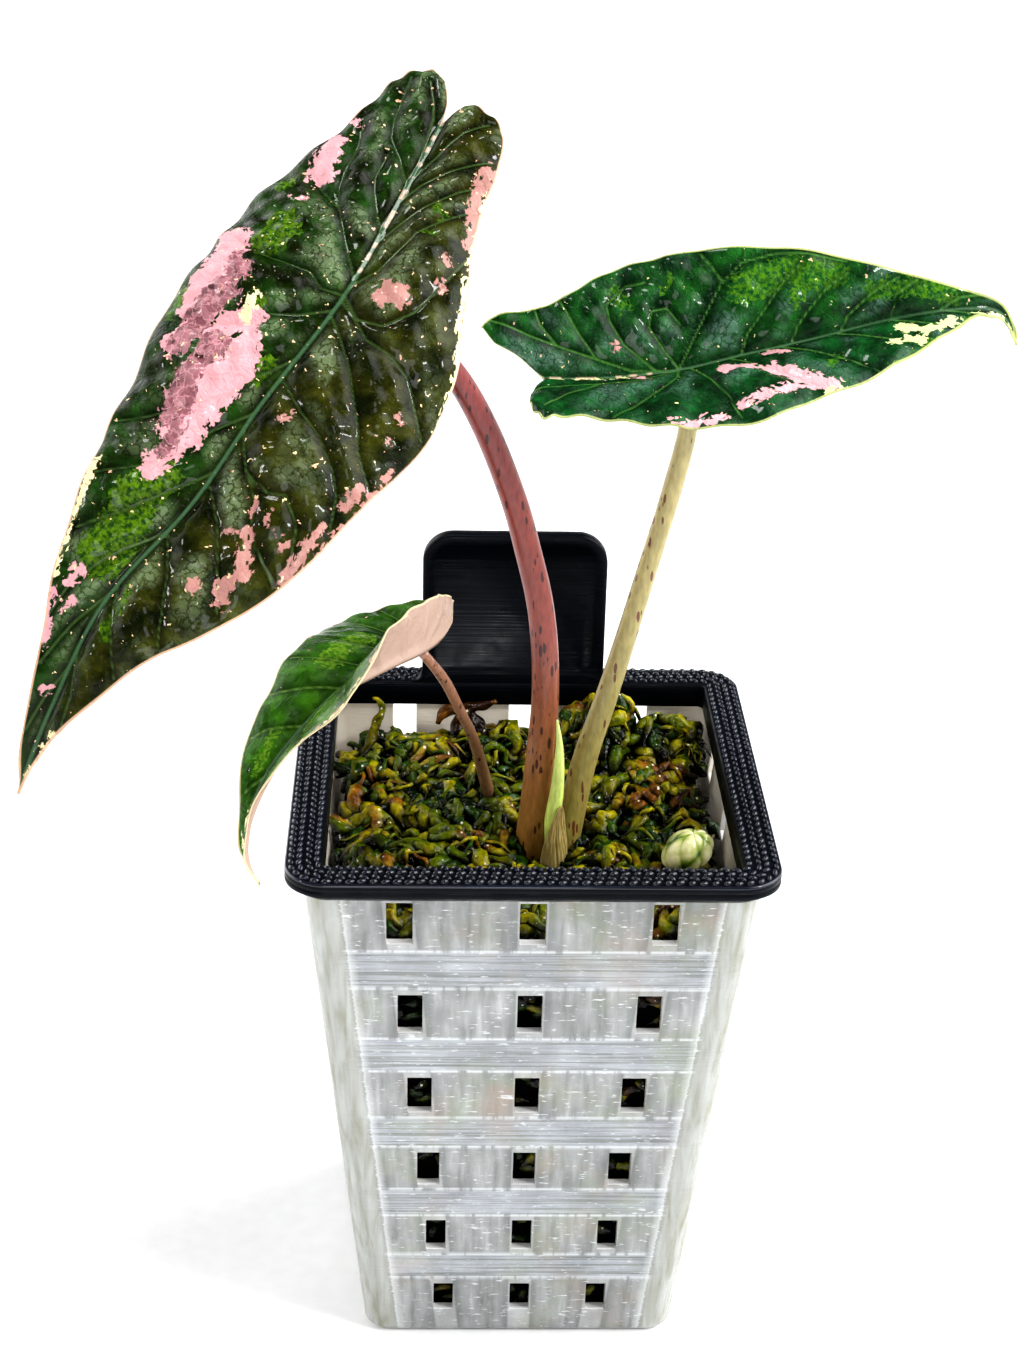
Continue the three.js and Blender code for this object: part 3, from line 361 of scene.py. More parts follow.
RIGHT = {
    "midrib": [
        (-6.8, -5.2, 184), (0.4, -4, 182.8), (11.1, -2.2, 182.3), (23.8, 0, 183.2), (34.3, 2.1, 185.2),
        (46.9, 4.8, 187.5), (60.1, 7.9, 190.1), (71.4, 10.6, 191.3), (79.1, 12.4, 190.9), (82.6, 13.2, 188),
        (84.5, 13.5, 184.3),
    ],
    "petiole_at": 3,
    "facing": [(-45, -0.05, -0.34, 0.94), (0, 0, -0.57, 0.82), (60, 0.1, -0.76, 0.65), (80, 0.5, -0.35, 0.8)],
    "quilt": 1.4, "ridge": 0.8, "wave": 0.3, "notch": 3,
    "left": {
        "fold": [(-45, 27.4, -0.7), (0, 31.4, -0.8), (60, 31.4, -1)],
        "rows": [
            (-28.4, 12.5, -28.4, 12.5), (-27.6, 9, -28, 16), (-25.5, 4, -26.5, 17.2), (-23, 0, -23.5, 16),
            (-17, 0, -18, 15.8), (-11, 0, -12, 17), (-5, 0, -6, 18.3), (0, 0, 0, 19.4), (6, 0, 9, 19.3),
            (13, 0, 18, 16.4), (21, 0, 27, 14.3), (30, 0, 36.5, 10.9), (40, 0, 45.5, 6.9), (50, 0, 53.5, 2.6),
            (58, 0, 60, 1.3), (66.3, 0, 66.3, 0),
        ],
    },
    "right": {
        "fold": [(-45, 27.4, -0.9), (0, 31.4, -1), (60, 31.4, -1.2)],
        "rows": [
            (-34.4, 8.2, -34.4, 8.2), (-32.2, 5.4, -33, 10), (-28, 3.4, -29.5, 11.6), (-23, 0, -24, 12.8),
            (-17, 0, -19, 15), (-11, 0, -13.5, 17.6), (-5, 0, -7.5, 19.4), (0, 0, -1, 20.1), (6, 0, 8, 19.8),
            (13, 0, 18, 17.8), (21, 0, 27.5, 15), (30, 0, 36, 10.6), (40, 0, 44.5, 6.5), (50, 0, 53, 3.2),
            (58, 0, 60, 1.4), (66.3, 0, 66.3, 0),
        ],
    },
    "veins": [
        [(0, 0), (-8, -1), (-14, -3.4), (-21, -5.8), (-28, -8), (-33, -9.6)],
        [(0, 0), (1, -1.5), (4, -5.1), (7, -8.3), (11, -12.9), (15, -15.5), (21, -15.8), (27, -14.4),
                (33, -11.5)],
        [(11, -12.9), (10, -16.5), (9, -19)],
        [(0, -0.4), (-2, -3.8), (-4, -8), (-3, -10.8), (0, -10.9), (2, -7.6)],
        [(-4, -0.6), (-9, -5.6), (-11, -10), (-11, -12.9), (-7, -15.7), (-3, -16)],
        [(-14, -3.4), (-17, -8), (-19, -12), (-20, -14)], [(-21, -5.8), (-24, -9.5), (-25, -12)],
        [(11, 0), (13, -3.5), (17, -7), (21, -10.5), (25, -13)],
        [(20, 0), (22, -3), (24, -4.8), (28, -7.6), (33, -9.6)], [(29, 0), (31, -2.5), (36, -5.3), (41, -7)],
        [(38, 0), (40, -4.1), (44, -6)], [(47, 0), (51, -2), (55, -2.4)],
        [(0, 0), (-8, 2.4), (-14, 2.9), (-21, 7.6), (-26, 13)],
        [(0, 0), (-1, 3), (-5, 7), (-12, 13.4), (-15, 15.5)], [(-14, 2.9), (-19, 3.6), (-25, 5.5), (-28, 9)],
        [(2, 0), (4, 6), (5, 12), (5, 18)], [(9, 0), (13, 5), (17, 10), (21, 15)],
        [(18, 0), (23, 4), (28, 9), (31, 12.6)], [(28, 0), (34, 4), (41, 8)], [(38, 0), (44, 3), (50, 4.6)],
        [(48, 0), (53, 1.5), (58, 2)],
    ],
    "marks": {
        "pink": [
            (1.3, [(7, 4.4), (12, 5.2), (14, 7)]), (1.9, [(14, 6.6), (18, 10.4), (22, 13.8)]),
            (1.2, [(6, 15.2), (11, 14), (16, 12.6), (20, 13.4)]), (1.2, [(15.4, 1.6), (18, 2.4)]),
            (0.9, [(-6, 17.9), (-2, 18.3), (2, 17.6)]), (0.7, [(-12, -5.9), (-10.6, -5.4)]),
            (0.7, [(-8.6, 1), (-6.6, 1.2)]),
        ],
        "mauve": [],
        "cream": [
            (1.3, [(38.6, 3), (43, 4.9), (49, 2.9)]), (1.1, [(36, 6.2), (41, 6.8)]),
            (0.45, [(-21, 0.4), (-15, 0.5), (-8, 0.6)]), (0.6, [(20.6, 15), (24, 14.4)]),
            (0.5, [(52, 1.8), (58, 1), (66, 0.2)]),
        ],
        "lime": [
            (1.0, [(34, 12), (40, 9.6), (46, 6.6), (52, 3.6)]), (0.9, [(26, 6.7), (23.6, 9.6)]),
            (3.0, [(14, -11), (22, -12), (30, -10)]), (2.0, [(36, -6), (43, -5), (50, -2.6)]),
            (1.2, [(22, -7), (24, -8.6)]), (1.0, [(0, -14), (2, -16)]), (1.4, [(-8, -12), (-9, -15)]),
        ],
    },
}

SMALL = {
    "midrib": [
        (-13.8, -8, 142.4), (-16.3, -14, 140), (-19.6, -20, 139.9), (-23.4, -26, 140.7), (-27.4, -31, 140.8),
        (-33, -37, 140), (-38.5, -42, 135.9), (-43.4, -46, 130.6), (-46.7, -49, 124.1), (-47.7, -50, 118.6),
        (-47.2, -50, 114.3), (-45.6, -49, 110.5),
    ],
    "petiole_at": 2,
    "facing": [
        (-15, -0.2, 0.35, 0.9), (0, -0.3, 0.15, 0.9), (20, -0.45, -0.15, 0.85), (45, -0.7, -0.3, 0.6),
        (70, -0.9, -0.4, 0.1),
    ],
    "quilt": 0.7, "ridge": 0.5, "wave": 0.2, "notch": 2,
    "left": {
        "fold": [(-15, 35, -1.5), (0, 35, -1.6), (30, 30, -1.8), (70, 20, -1)],
        "rows": [
            (-13.8, 2.5, -13.8, 2.5), (-12.6, 1, -13.2, 6), (-10, 0, -11.6, 9.6), (-6, 0, -9, 13.4),
            (-1, 0, -4, 17.2), (4, 0, 4, 17.8), (10, 0, 13.2, 15.6), (17, 0, 22, 12.6), (25, 0, 29, 9.8),
            (34, 0, 36, 7.8), (44, 0, 46.5, 2.8), (53, 0, 54.5, 1.2), (60.9, 0, 60.9, 0),
        ],
    },
    "right": {
        "fold": [
            (-15, 56, 2), (-5, 56, 2), (5, 52, 1.8), (12, 48, 0.8), (18, 42, -0.3), (24, 27, -0.5),
            (32, 24, -0.5), (46, 31, -0.5), (61, 31, -0.5),
        ],
        "rows": [
            (-12.9, 2.5, -12.9, 2.5), (-12, 1, -11.9, 4.8), (-10, 0, -9.6, 7.2), (-6, 0, -6, 8.6),
            (-1, 0, -0.5, 9.2), (4, 0, 5.5, 9.6), (10, 0, 12.5, 10.4), (17, 0, 20.5, 13), (25, 0, 27.5, 12),
            (34, 0, 36, 6.2), (44, 0, 46, 2.4), (53, 0, 54.5, 1.3), (60.9, 0, 60.9, 0),
        ],
    },
    "veins": [
        [(0, 0), (-4, 5), (-7, 9), (-9, 12)], [(1, 0), (0, 7), (-1, 13), (-2, 17)],
        [(6, 0), (9, 7), (12, 13), (13, 16)], [(13, 0), (17, 6), (21, 12)], [(21, 0), (25, 5), (29, 9.6)],
        [(30, 0), (34, 5), (37, 7)], [(40, 0), (44, 2.4)], [(0, 0), (-4, -4), (-7, -7.4)],
        [(1, 0), (0.5, -5), (0, -9)], [(6, 0), (8, -5), (9, -9.6)], [(12, 0), (15, -5), (17, -11)],
        [(20, 0), (23, -6), (26, -12)], [(29, 0), (32, -5), (34, -7)], [(40, 0), (43, -2.4)],
    ],
    "marks": {
        "pink": [
            (0.8, [(1, 17.4), (3, 17.4)]), (0.5, [(12, 15.4), (13, 15.2)]),
            (0.3, [(8, -9), (13, -10), (19, -12.6), (26, -12), (31, -9)]),
        ],
        "mauve": [],
        "cream": [
            (0.1, [(4, -9.2), (12, -10.4), (20, -13), (27, -12), (36, -6)]),
            (0.5, [(46, 0.4), (52, 0.2), (60, 0)]),
        ],
        "lime": [(2.4, [(6, 8), (12, 8), (18, 6)]), (1.6, [(24, -3), (30, -3)]), (1.2, [(34, 3), (40, 2)])],
    },
}


def blade_frame(blade, along):
    """The midrib's place, the blade's face and its left side at each distance along it."""
    places, lengths = dense_curve(blade["midrib"], 4001)
    petiole = np.interp(blade["petiole_at"], np.linspace(0, len(blade["midrib"]) - 1, 4001), lengths)
    tangents = units(np.gradient(places, axis=0))
    at = np.clip(along + petiole, 0, lengths[-1])
    forward = units(read_curve(tangents, lengths, at))
    place = read_curve(places, lengths, at) + forward * (along + petiole - at)[:, None]
    up = table_at(blade["facing"], along)
    up = units(up - forward * np.sum(up * forward, axis=1)[:, None])
    return place, up, np.cross(forward, up)


def stroke_distance(points, strokes):
    """How far each point lies from the nearest of several open lines."""
    best = np.full(len(points), 1e3)
    for line in strokes:
        line = np.asarray(line, float)
        for start, end in zip(line[:-1], line[1:]):
            run = end - start
            share = np.clip(((points - start) @ run) / max(run @ run, 1e-9), 0, 1)
            best = np.minimum(best, np.linalg.norm(points - start - share[:, None] * run, axis=1))
    return best


def blade_sheet(blade, per_row, across):
    """The blade's middle surface: points, quads and the leaf's own coordinates, in two halves."""
    points, faces, leaf, margin = [], [], [], []
    for side, sign in (("left", 1), ("right", -1)):
        rows = np.asarray(blade[side]["rows"], float)
        stations = (len(rows) - 1) * per_row + 1
        s, t = np.meshgrid(np.linspace(0, len(rows) - 1, stations), np.linspace(0, 1, across), indexing="ij")
        s, t = s.ravel(), t.ravel()
        i = np.minimum(np.floor(s).astype(int), len(rows) - 2)
        smooth = smooth_rows(rows, s)
        start = rows[i, 0] + (rows[i + 1, 0] - rows[i, 0]) * (s - i)
        inner = np.where(s >= blade["notch"], 0, np.maximum(smooth[:, 1], 0))
        outer = np.maximum(smooth[:, 3], inner)
        along = start + (smooth[:, 2] - start) * t ** 1.4
        off = inner + (outer - inner) * t
        place, up, left = blade_frame(blade, along)
        rise, bend = np.radians(table_at(blade[side]["fold"], along)).T
        bend = np.where(np.abs(bend) < 1e-4, 1e-4, bend)
        end = rise + bend * off
        across_by = (np.sin(end) - np.sin(rise)) / bend
        lifted = (np.cos(rise) - np.cos(end)) / bend
        coordinates = np.stack([along, sign * off], axis=1)
        vein = np.minimum(stroke_distance(coordinates, blade["veins"]), off)
        swell = blade["quilt"] * np.minimum(1, (outer - inner) / 16) * np.sin(math.pi * t) ** 0.6
        puckers = 0.75 + 0.25 * np.cos(1.3 * along) * np.cos(1.1 * off)
        relief = swell * (1 - np.exp(-(vein / 1.9) ** 1.3)) * puckers
        relief += blade["wave"] * t ** 3 * np.sin(1.7 * math.pi * s + sign)
        place = (place + left * (sign * (across_by - relief * np.sin(end)))[:, None]
                 + up * (lifted + relief * np.cos(end))[:, None])
        quads = np.array(grid_faces(stations, across)) + sum(len(p) for p in points)
        faces += (quads if sign > 0 else quads[:, ::-1]).tolist()
        points.append(place)
        leaf.append(np.column_stack([coordinates, vein]))
        margin.append(np.minimum((outer - off), np.where(s < blade["notch"], off - inner, 9) + 0.15))
    return np.vstack(points), faces, np.vstack(leaf), np.concatenate(margin)


def blade_mesh(name, blade, per_row, across, thickness):
    points, faces, leaf, margin = blade_sheet(blade, per_row, across)
    sheet = new_mesh(name + "_sheet", points, faces, {"leaf": leaf, "margin": margin})
    work = bmesh.new()
    work.from_mesh(sheet)
    bmesh.ops.remove_doubles(work, verts=work.verts, dist=0.02 * MM)
    work.to_mesh(sheet)
    work.free()
    count = len(sheet.vertices)
    middle, normals, leaf, margin = (np.empty(count * width) for width in (3, 3, 3, 1))
    sheet.vertices.foreach_get("co", middle)
    sheet.vertex_normals.foreach_get("vector", normals)
    sheet.attributes["leaf"].data.foreach_get("vector", leaf)
    sheet.attributes["margin"].data.foreach_get("value", margin)
    middle, normals, leaf = middle.reshape(-1, 3) / MM, normals.reshape(-1, 3), leaf.reshape(-1, 3)
    top_faces = [list(face.vertices) for face in sheet.polygons]
    open_edges = {}
    for face in top_faces:
        for a, b in zip(face, face[1:] + face[:1]):
            if open_edges.pop((b, a), None) is None:
                open_edges[(a, b)] = True
    bpy.data.meshes.remove(sheet)
    fading = np.clip((leaf[:, 0].max() - leaf[:, 0]) / 30, 0, 1)
    rib = blade["ridge"] * np.exp(-(leaf[:, 1] / 1.1) ** 2) * fading
    rib += 0.22 * np.exp(-(leaf[:, 2] / 0.45) ** 2)
    thin = thickness * np.clip(0.45 + margin / 3, 0.45, 1)
    swell = 0.3 * np.exp(-(leaf[:, 1] / 0.5) ** 2)
    groove = 0.25 * np.exp(-(leaf[:, 1] / 1.3) ** 2)
    over = middle + normals * (thin / 2 + swell - groove)[:, None]
    under = middle - normals * (thin / 2 + rib)[:, None]
    faces = top_faces + [[k + count for k in reversed(face)] for face in top_faces]
    faces += [[b, a, a + count, b + count] for a, b in open_edges]
    marks = {}
    for kind, strokes in blade["marks"].items():
        depth = np.full(count, -9.0)
        for radius, line in strokes:
            depth = np.maximum(depth, radius - stroke_distance(leaf[:, :2], [line]))
        marks[kind] = depth
    twice = lambda values: np.concatenate([values, values])
    face_side = np.r_[np.zeros(count), np.ones(count)]
    return new_mesh(name, np.vstack([over, under]), faces, {
        "leaf": np.column_stack([twice(leaf[:, 0]), twice(leaf[:, 1]), face_side]),
        "veins": np.column_stack([twice(leaf[:, 2]), twice(np.abs(leaf[:, 1])), twice(margin)]),
        "marks": np.column_stack([twice(marks["pink"]), twice(marks["lime"]), twice(marks["cream"])]),
        "mauve": twice(marks["mauve"]),
    })


# Stems: places up the middle of each and its radius at each of them

PETIOLES = {
    "large": (
        [(1.6, -2.2, 83.4), (0.8, -3.6, 91.4), (1.4, -3.8, 100.8), (2.1, -3.8, 111.3), (2.7, -3.6, 121.6),
         (2.4, -3.4, 131.6), (1.2, -3, 141.3), (-1.1, -2.6, 150.8), (-3.8, -2.4, 160.3), (-8.9, -3, 173.5),
         (-14.8, -5.2, 184.4), (-22.5, -11.5, 193.6), (-31.3, -21.1, 201.5)],
        [2.4, 2.75, 2.6, 2.5, 2.45, 2.4, 2.35, 2.3, 2.25, 2.15, 2.1, 2, 1.8],
    ),
    "right": (
        [(7.2, -0.4, 83.4), (7.5, -1.6, 91.6), (8.6, -1.4, 99.5), (10.6, -1, 109.9), (13.5, -0.5, 120.1),
         (16.2, 0, 130.1), (18.9, 0.3, 141), (21.3, 0.6, 150.7), (23.4, 0.8, 159.3), (25.9, 1, 171.5),
         (25.6, 0.9, 177.6), (24.1, 0.2, 182.2)],
        [2.2, 2.5, 2.45, 2.25, 2.1, 1.95, 1.85, 1.8, 1.75, 1.75, 1.65, 1.4],
    ),
    "small": (
        [(0.2, 2.8, 84), (-4.8, 8.4, 89.6), (-6.9, 8, 97.7), (-9.6, 2, 110.5), (-12.6, -4, 120.4),
         (-15.5, -10, 129.3), (-19.2, -19.4, 138.8)],
        [1.1, 1.2, 1.15, 1, 0.95, 0.95, 0.85],
    ),
}
SPEAR = (
    [(5.2, -6, 84), (4.8, -6.3, 92.5), (4.5, -7, 99.6), (5.1, -7, 104.9), (5.4, -6.9, 111),
     (5.3, -6.6, 115.5), (4.8, -6.4, 119.8)],
    [1.2, 1.45, 1.45, 1.4, 1.15, 0.75, 0.2],
)


def make_stem(name, stem, material, rings, sides, shape=None):
    points, radii = stem
    places, run = tube_points(points, radii, rings, sides, shape)
    faces = capped(grid_faces(rings, sides, closed=True), rings, sides)
    return new_object(name, new_mesh(name, places, faces, {"run": run}), material)


def make_scale_leaf(material):
    """A papery sheath, open at the back, with a torn curled top edge."""
    rows, columns = 40, 48
    foot, height = 87.0, 16.5
    spine, lengths = dense_curve(SPEAR[0])
    share, across = np.meshgrid(np.linspace(0, 1, rows), np.linspace(-0.5, 0.5, columns), indexing="ij")
    share, across = share.ravel(), across.ravel()
    z = foot + share * height
    centre = np.stack([np.interp(z, spine[:, 2], spine[:, k]) for k in (0, 1)], axis=1)
    wrap = np.radians(230) * (1 - 0.97 * share) ** 0.8
    angle = np.radians(-62) + across * wrap
    crinkle = 0.1 * np.sin(26 * across + 3 * share) * (0.3 + share) + 0.08 * np.sin(61 * across + 11 * share)
    shells = []
    for offset in (0.06, 0.42):
        radius = 2.5 + (1.9 - 2.5) * share + offset + crinkle
        x, y = centre[:, 0] + radius * np.cos(angle), centre[:, 1] + radius * np.sin(angle)
        shells.append(np.column_stack([x, y, z]))
    inner = grid_faces(rows, columns)
    count = rows * columns
    faces = [face[::-1] for face in inner] + [[k + count for k in face] for face in inner]
    rim = ([k for k in range(columns)] + [i * columns + columns - 1 for i in range(1, rows)]
           + [(rows - 1) * columns + k for k in range(columns - 2, -1, -1)]
           + [i * columns for i in range(rows - 2, 0, -1)])
    faces += [[a, b, b + count, a + count] for a, b in zip(rim, rim[1:] + rim[:1])]
    return new_object("scale_leaf_dried", new_mesh("scale_leaf_dried", np.vstack(shells), faces), material)


# Pot, printed with a clear filament

POT_FOOT_WIDTH = 58.44
POT_HEIGHT = 105
POT_WALL = 2
POT_FLOOR = 2
POT_CORNER = 4.5
POT_FOOT_ROUNDING = 1.6
WALL_LEAN = 0.099
LAYER = 0.6
WINDOW_EDGE = 0.25
# Lowest edge, highest edge, width, distance between columns
WINDOW_ROWS = [
    (92.6, 101.2, 4.5, 22.85), (73.2, 81.4, 4.3, 20.96), (54.9, 62.8, 4.3, 19.19),
    (37.6, 45.2, 4.0, 17.49), (21.5, 28.6, 3.6, 15.97), (6.0, 12.5, 3.6, 14.41),
]
DRAIN_HOLE = 3.6
DRAIN_SPACING = 14.4


def wall_half(z):
    return POT_FOOT_WIDTH / 2 + WALL_LEAN * z


def rounded_square(half, radius, z, steps):
    loop = []
    for corner, (x, y) in enumerate([(1, 1), (-1, 1), (-1, -1), (1, -1)]):
        for angle in np.linspace(corner * math.pi / 2, (corner + 1) * math.pi / 2, steps + 1):
            loop.append((x * (half - radius) + radius * math.cos(angle),
                    y * (half - radius) + radius * math.sin(angle), z))
    return loop


def solid_object(name, points, faces, material, values=None):
    """A closed piece whose faces all look outward."""
    mesh = new_mesh(name, points, faces, values)
    work = bmesh.new()
    work.from_mesh(mesh)
    bmesh.ops.remove_doubles(work, verts=work.verts, dist=0.001 * MM)
    bmesh.ops.recalc_face_normals(work, faces=work.faces)
    work.to_mesh(mesh)
    work.free()
    return new_object(name, mesh, material)


def lofted(name, loops, material, ring=False):
    """A piece through loops of points, closed at its two ends or back onto its first loop."""
    count = len(loops[0])
    faces = grid_faces(len(loops), count, closed=True)
    if ring:
        last = (len(loops) - 1) * count
        faces += [[last + k, last + (k + 1) % count, (k + 1) % count, k] for k in range(count)]
    else:
        faces = capped(faces, len(loops), count)
    return solid_object(name, np.array(loops).reshape(-1, 3), faces, material)


def opening_tree():
    """Cuts openings through a body: each point of a guide mesh gets one block of its own size."""
    tree, add, inputs = node_group("openings through the wall", Object=["Openings"], Material=["Material"])
    guide = add("GeometryNodeObjectInfo", {"Object": inputs["Openings"]}).outputs["Geometry"]
    size = add("InputNamedAttribute FLOAT_VECTOR", {"Name": "size"})
    block = add("MeshCube", {"Size": (1, 1, 1)})
    blocks = add("InstanceOnPoints", {"Points": guide, "Instance": block, "Scale": size})
    real = add("RealizeInstances", [blocks])
    cut = add("MeshBoolean DIFFERENCE", {"Mesh 1": inputs["Geometry"], "Mesh 2": real})
    group_result(add, cut, inputs["Material"], smooth=False)
    return tree


def make_pot(material):
    rim, inner_corner = 0.3, POT_CORNER - POT_WALL
    rows = []
    for angle in np.radians([0, 18, 36, 54, 72, 90]):
        z, inset = POT_FOOT_ROUNDING * (1 - math.cos(angle)), POT_FOOT_ROUNDING * (1 - math.sin(angle))
        rows.append((inset, POT_CORNER, z))
    # From the outer wall inward, its corner and its height
    rows += [(0, POT_CORNER, POT_HEIGHT - rim), (rim, POT_CORNER - rim, POT_HEIGHT),
             (POT_WALL, inner_corner, POT_HEIGHT), (POT_WALL, inner_corner, POT_FLOOR + 2),
             (POT_WALL + 2, inner_corner, POT_FLOOR)]
    loops = [rounded_square(wall_half(z) - inset, corner, z, 10) for inset, corner, z in rows]
    places, sizes = [], []
    reach = 100
    for low, high, width, spacing in WINDOW_ROWS:
        for column in (-1, 0, 1):
            places += [(column * spacing, 0, (low + high) / 2), (0, column * spacing, (low + high) / 2)]
            sizes += [(width, reach, high - low), (reach, width, high - low)]
    for column in (-1, 0, 1):
        for row in (-1, 0, 1):
            if column or row:
                places.append((column * DRAIN_SPACING, row * DRAIN_SPACING, 0))
                sizes.append((DRAIN_HOLE, DRAIN_HOLE, 3 * POT_FLOOR))
    blocks = new_mesh("opening_guide", places, [], {"size": np.array(sizes) * MM})
    guide = new_object("opening_guide", blocks, material)
    pot = lofted("pot_blank", loops, material)
    grow_with(pot, opening_tree(), {"Openings": guide, "Material": material})
    pot = settled(pot, "pot_with_windows", material)
    bpy.data.objects.remove(guide)
    bevel = pot.modifiers.new("soft print edges", "BEVEL")
    bevel.width = WINDOW_EDGE * MM
    bevel.segments = 2
    bevel.limit_method = "ANGLE"
    bevel.angle_limit = math.radians(50)
    return pot


# Collar with its label tab

COLLAR_WIDTH = 85
COLLAR_TOP = 107.04
COLLAR_CORNER = 7.5
COLLAR_OPENING = 71.64
COLLAR_EDGE = 0.6
COLLAR_FACE = 2.9
COLLAR_CHAMFER_FOOT = 102
COLLAR_SKIRT_FOOT = 101.74
TAB_CENTRE_X = -1.75
TAB_WIDTH = 35.5
TAB_TOP = 137.7
TAB_FRONT_Y = 35.9
TAB_THICKNESS = 2.9
TAB_CORNER = 5.8
TAB_FOOT_FILLET = 2.2
TAB_BORDER = 2.1
TAB_RECESS = 0.7
GAP = 0.3
# The knitted top: bumps in rings round the collar
BUMP_RINGS = (36.95, 38.45, 39.95, 41.4)
BUMP_PITCH = 2.0
BUMP_SIZE = (1.75, 1.25, 1.0)
BUMP_STAND = 0.42
COLLAR_FLAT = COLLAR_TOP - BUMP_STAND
# Steps round a corner
COLLAR_TURN = 14


def make_collar(material):
    half, opening, corner = COLLAR_WIDTH / 2, COLLAR_OPENING / 2, 1.2
    groove = POT_HEIGHT + GAP
    skirt = lambda z: wall_half(z) - POT_WALL - GAP
    profile = [
        (half - COLLAR_EDGE, COLLAR_CORNER - COLLAR_EDGE, COLLAR_FLAT),
        (half - 0.3 * COLLAR_EDGE, COLLAR_CORNER - 0.3 * COLLAR_EDGE, COLLAR_FLAT - 0.3 * COLLAR_EDGE),
        (half, COLLAR_CORNER, COLLAR_FLAT - COLLAR_EDGE),
        (half, COLLAR_CORNER, COLLAR_TOP - 0.55 * COLLAR_FACE - 0.2),
        (half - 0.2, COLLAR_CORNER - 0.2, COLLAR_TOP - 0.55 * COLLAR_FACE - 0.3),
        (half, COLLAR_CORNER, COLLAR_TOP - 0.55 * COLLAR_FACE - 0.4),
        (half, COLLAR_CORNER, COLLAR_TOP - COLLAR_FACE),
        (wall_half(COLLAR_CHAMFER_FOOT) + GAP, POT_CORNER + GAP, COLLAR_CHAMFER_FOOT),
        (wall_half(groove) + GAP, POT_CORNER + GAP, groove),
        (skirt(groove), POT_CORNER - POT_WALL - GAP, groove),
        (skirt(COLLAR_SKIRT_FOOT), POT_CORNER - POT_WALL - GAP, COLLAR_SKIRT_FOOT),
        (opening, corner, COLLAR_SKIRT_FOOT),
        (opening, corner, COLLAR_FLAT - COLLAR_EDGE),
        (opening + 0.3 * COLLAR_EDGE, corner + 0.3 * COLLAR_EDGE, COLLAR_FLAT - 0.3 * COLLAR_EDGE),
        (opening + COLLAR_EDGE, corner + COLLAR_EDGE, COLLAR_FLAT),
    ]
    loops = [rounded_square(h, r, z, COLLAR_TURN) for h, r, z in profile]
    return lofted("collar_printed", loops, material, ring=True)


def make_edge_bead(material):
    """The outermost bead of the print, laid along the collar's top edge, where it catches the light."""
    bead, steps = 0.35, 10
    loops = []
    for angle in np.linspace(0, -2 * math.pi, steps, endpoint=False):
        out = bead * math.cos(angle) - bead
        height = COLLAR_FLAT - bead + bead * math.sin(angle)
        loops.append(rounded_square(COLLAR_WIDTH / 2 + out, COLLAR_CORNER + out, height, COLLAR_TURN))
    return lofted("collar_edge_bead", loops, material, ring=True)


def bump_tree():
    """Rings of slanted bumps, each ring leaning the other way and half a step on, like knitting."""
    tree, add, inputs = node_group(
        "knitted bumps", Float=["Pitch", "Height"], Vector=["Size"], Material=["Material"])
    grain = add("MeshIcoSphere", {"Radius": 0.5, "Subdivisions": 2})
    rings = add("JoinGeometry")
    for number, half in enumerate(BUMP_RINGS):
        path = add("CurvePrimitiveQuadrilateral", {"Width": 2 * half * MM, "Height": 2 * half * MM})
        corner = (half - COLLAR_WIDTH / 2 + COLLAR_CORNER) * MM
        bent = add("FilletCurve POLY", {"Curve": path, "Count": 8, "Radius": corner})
        points = add("CurveToPoints LENGTH", {"Curve": bent, "Length": inputs["Pitch"]})
        lean = add("RotateRotation LOCAL", {"Rotation": points.outputs["Rotation"],
                "Rotate By": (0, math.radians(90), 0)})
        slant = add("RotateRotation GLOBAL", {"Rotation": lean, "Rotate By": (0, 0,
                math.radians(28 if number % 2 else -28))})
        ahead = add("VectorMath SCALE", [points.outputs["Tangent"],
                (0.5 if number % 2 else 0.0) * BUMP_PITCH * MM])
        lifted = add("CombineXYZ", {"Z": inputs["Height"]})
        offset = add("VectorMath", [ahead, lifted])
        placed = add("SetPosition", {"Geometry": points, "Offset": offset})
        wobble = add("RandomValue FLOAT_VECTOR", {"Min": (0.85, 0.85, 0.8), "Max": (1.15, 1.15, 1.1),
                "Seed": number})
        sized = add("VectorMath MULTIPLY", [wobble, inputs["Size"]])
        bumps = add("InstanceOnPoints", {"Points": placed, "Instance": grain, "Rotation": slant,
                "Scale": sized})
        tree.links.new(bumps.outputs[0], rings.inputs[0])
    group_result(add, add("RealizeInstances", [rings]), inputs["Material"])
    return tree


def make_bumps(material):
    carrier = new_object("bump_carrier", new_mesh("bump_carrier", [(0, 0, 0)], []), material)
    grow_with(carrier, bump_tree(), {
        "Pitch": BUMP_PITCH * MM, "Size": [side * MM for side in BUMP_SIZE],
        "Height": COLLAR_FLAT * MM, "Material": material})
    return settled(carrier, "collar_knitted_top", material)


def tab_outline(inset, foot, flare, steps=12):
    """The tab's outline. Its foot flares out onto the collar, or its lower corners are rounded where flare
    is negative."""
    half, corner, top = TAB_WIDTH / 2 - inset, TAB_CORNER - inset, TAB_TOP - inset
    turn = np.linspace(0, math.pi / 2, 7)
    right = [(half + flare * (1 - math.sin(a)), foot + abs(flare) * (1 - math.cos(a))) for a in turn]
    outline = [(-x, z) for x, z in right[::-1]] + right
    for centre, start in ((half - corner, 0), (-half + corner, math.pi / 2)):
        for angle in np.linspace(start, start + math.pi / 2, steps + 1):
            outline.append((centre + corner * math.cos(angle), top - corner + corner * math.sin(angle)))
    return outline


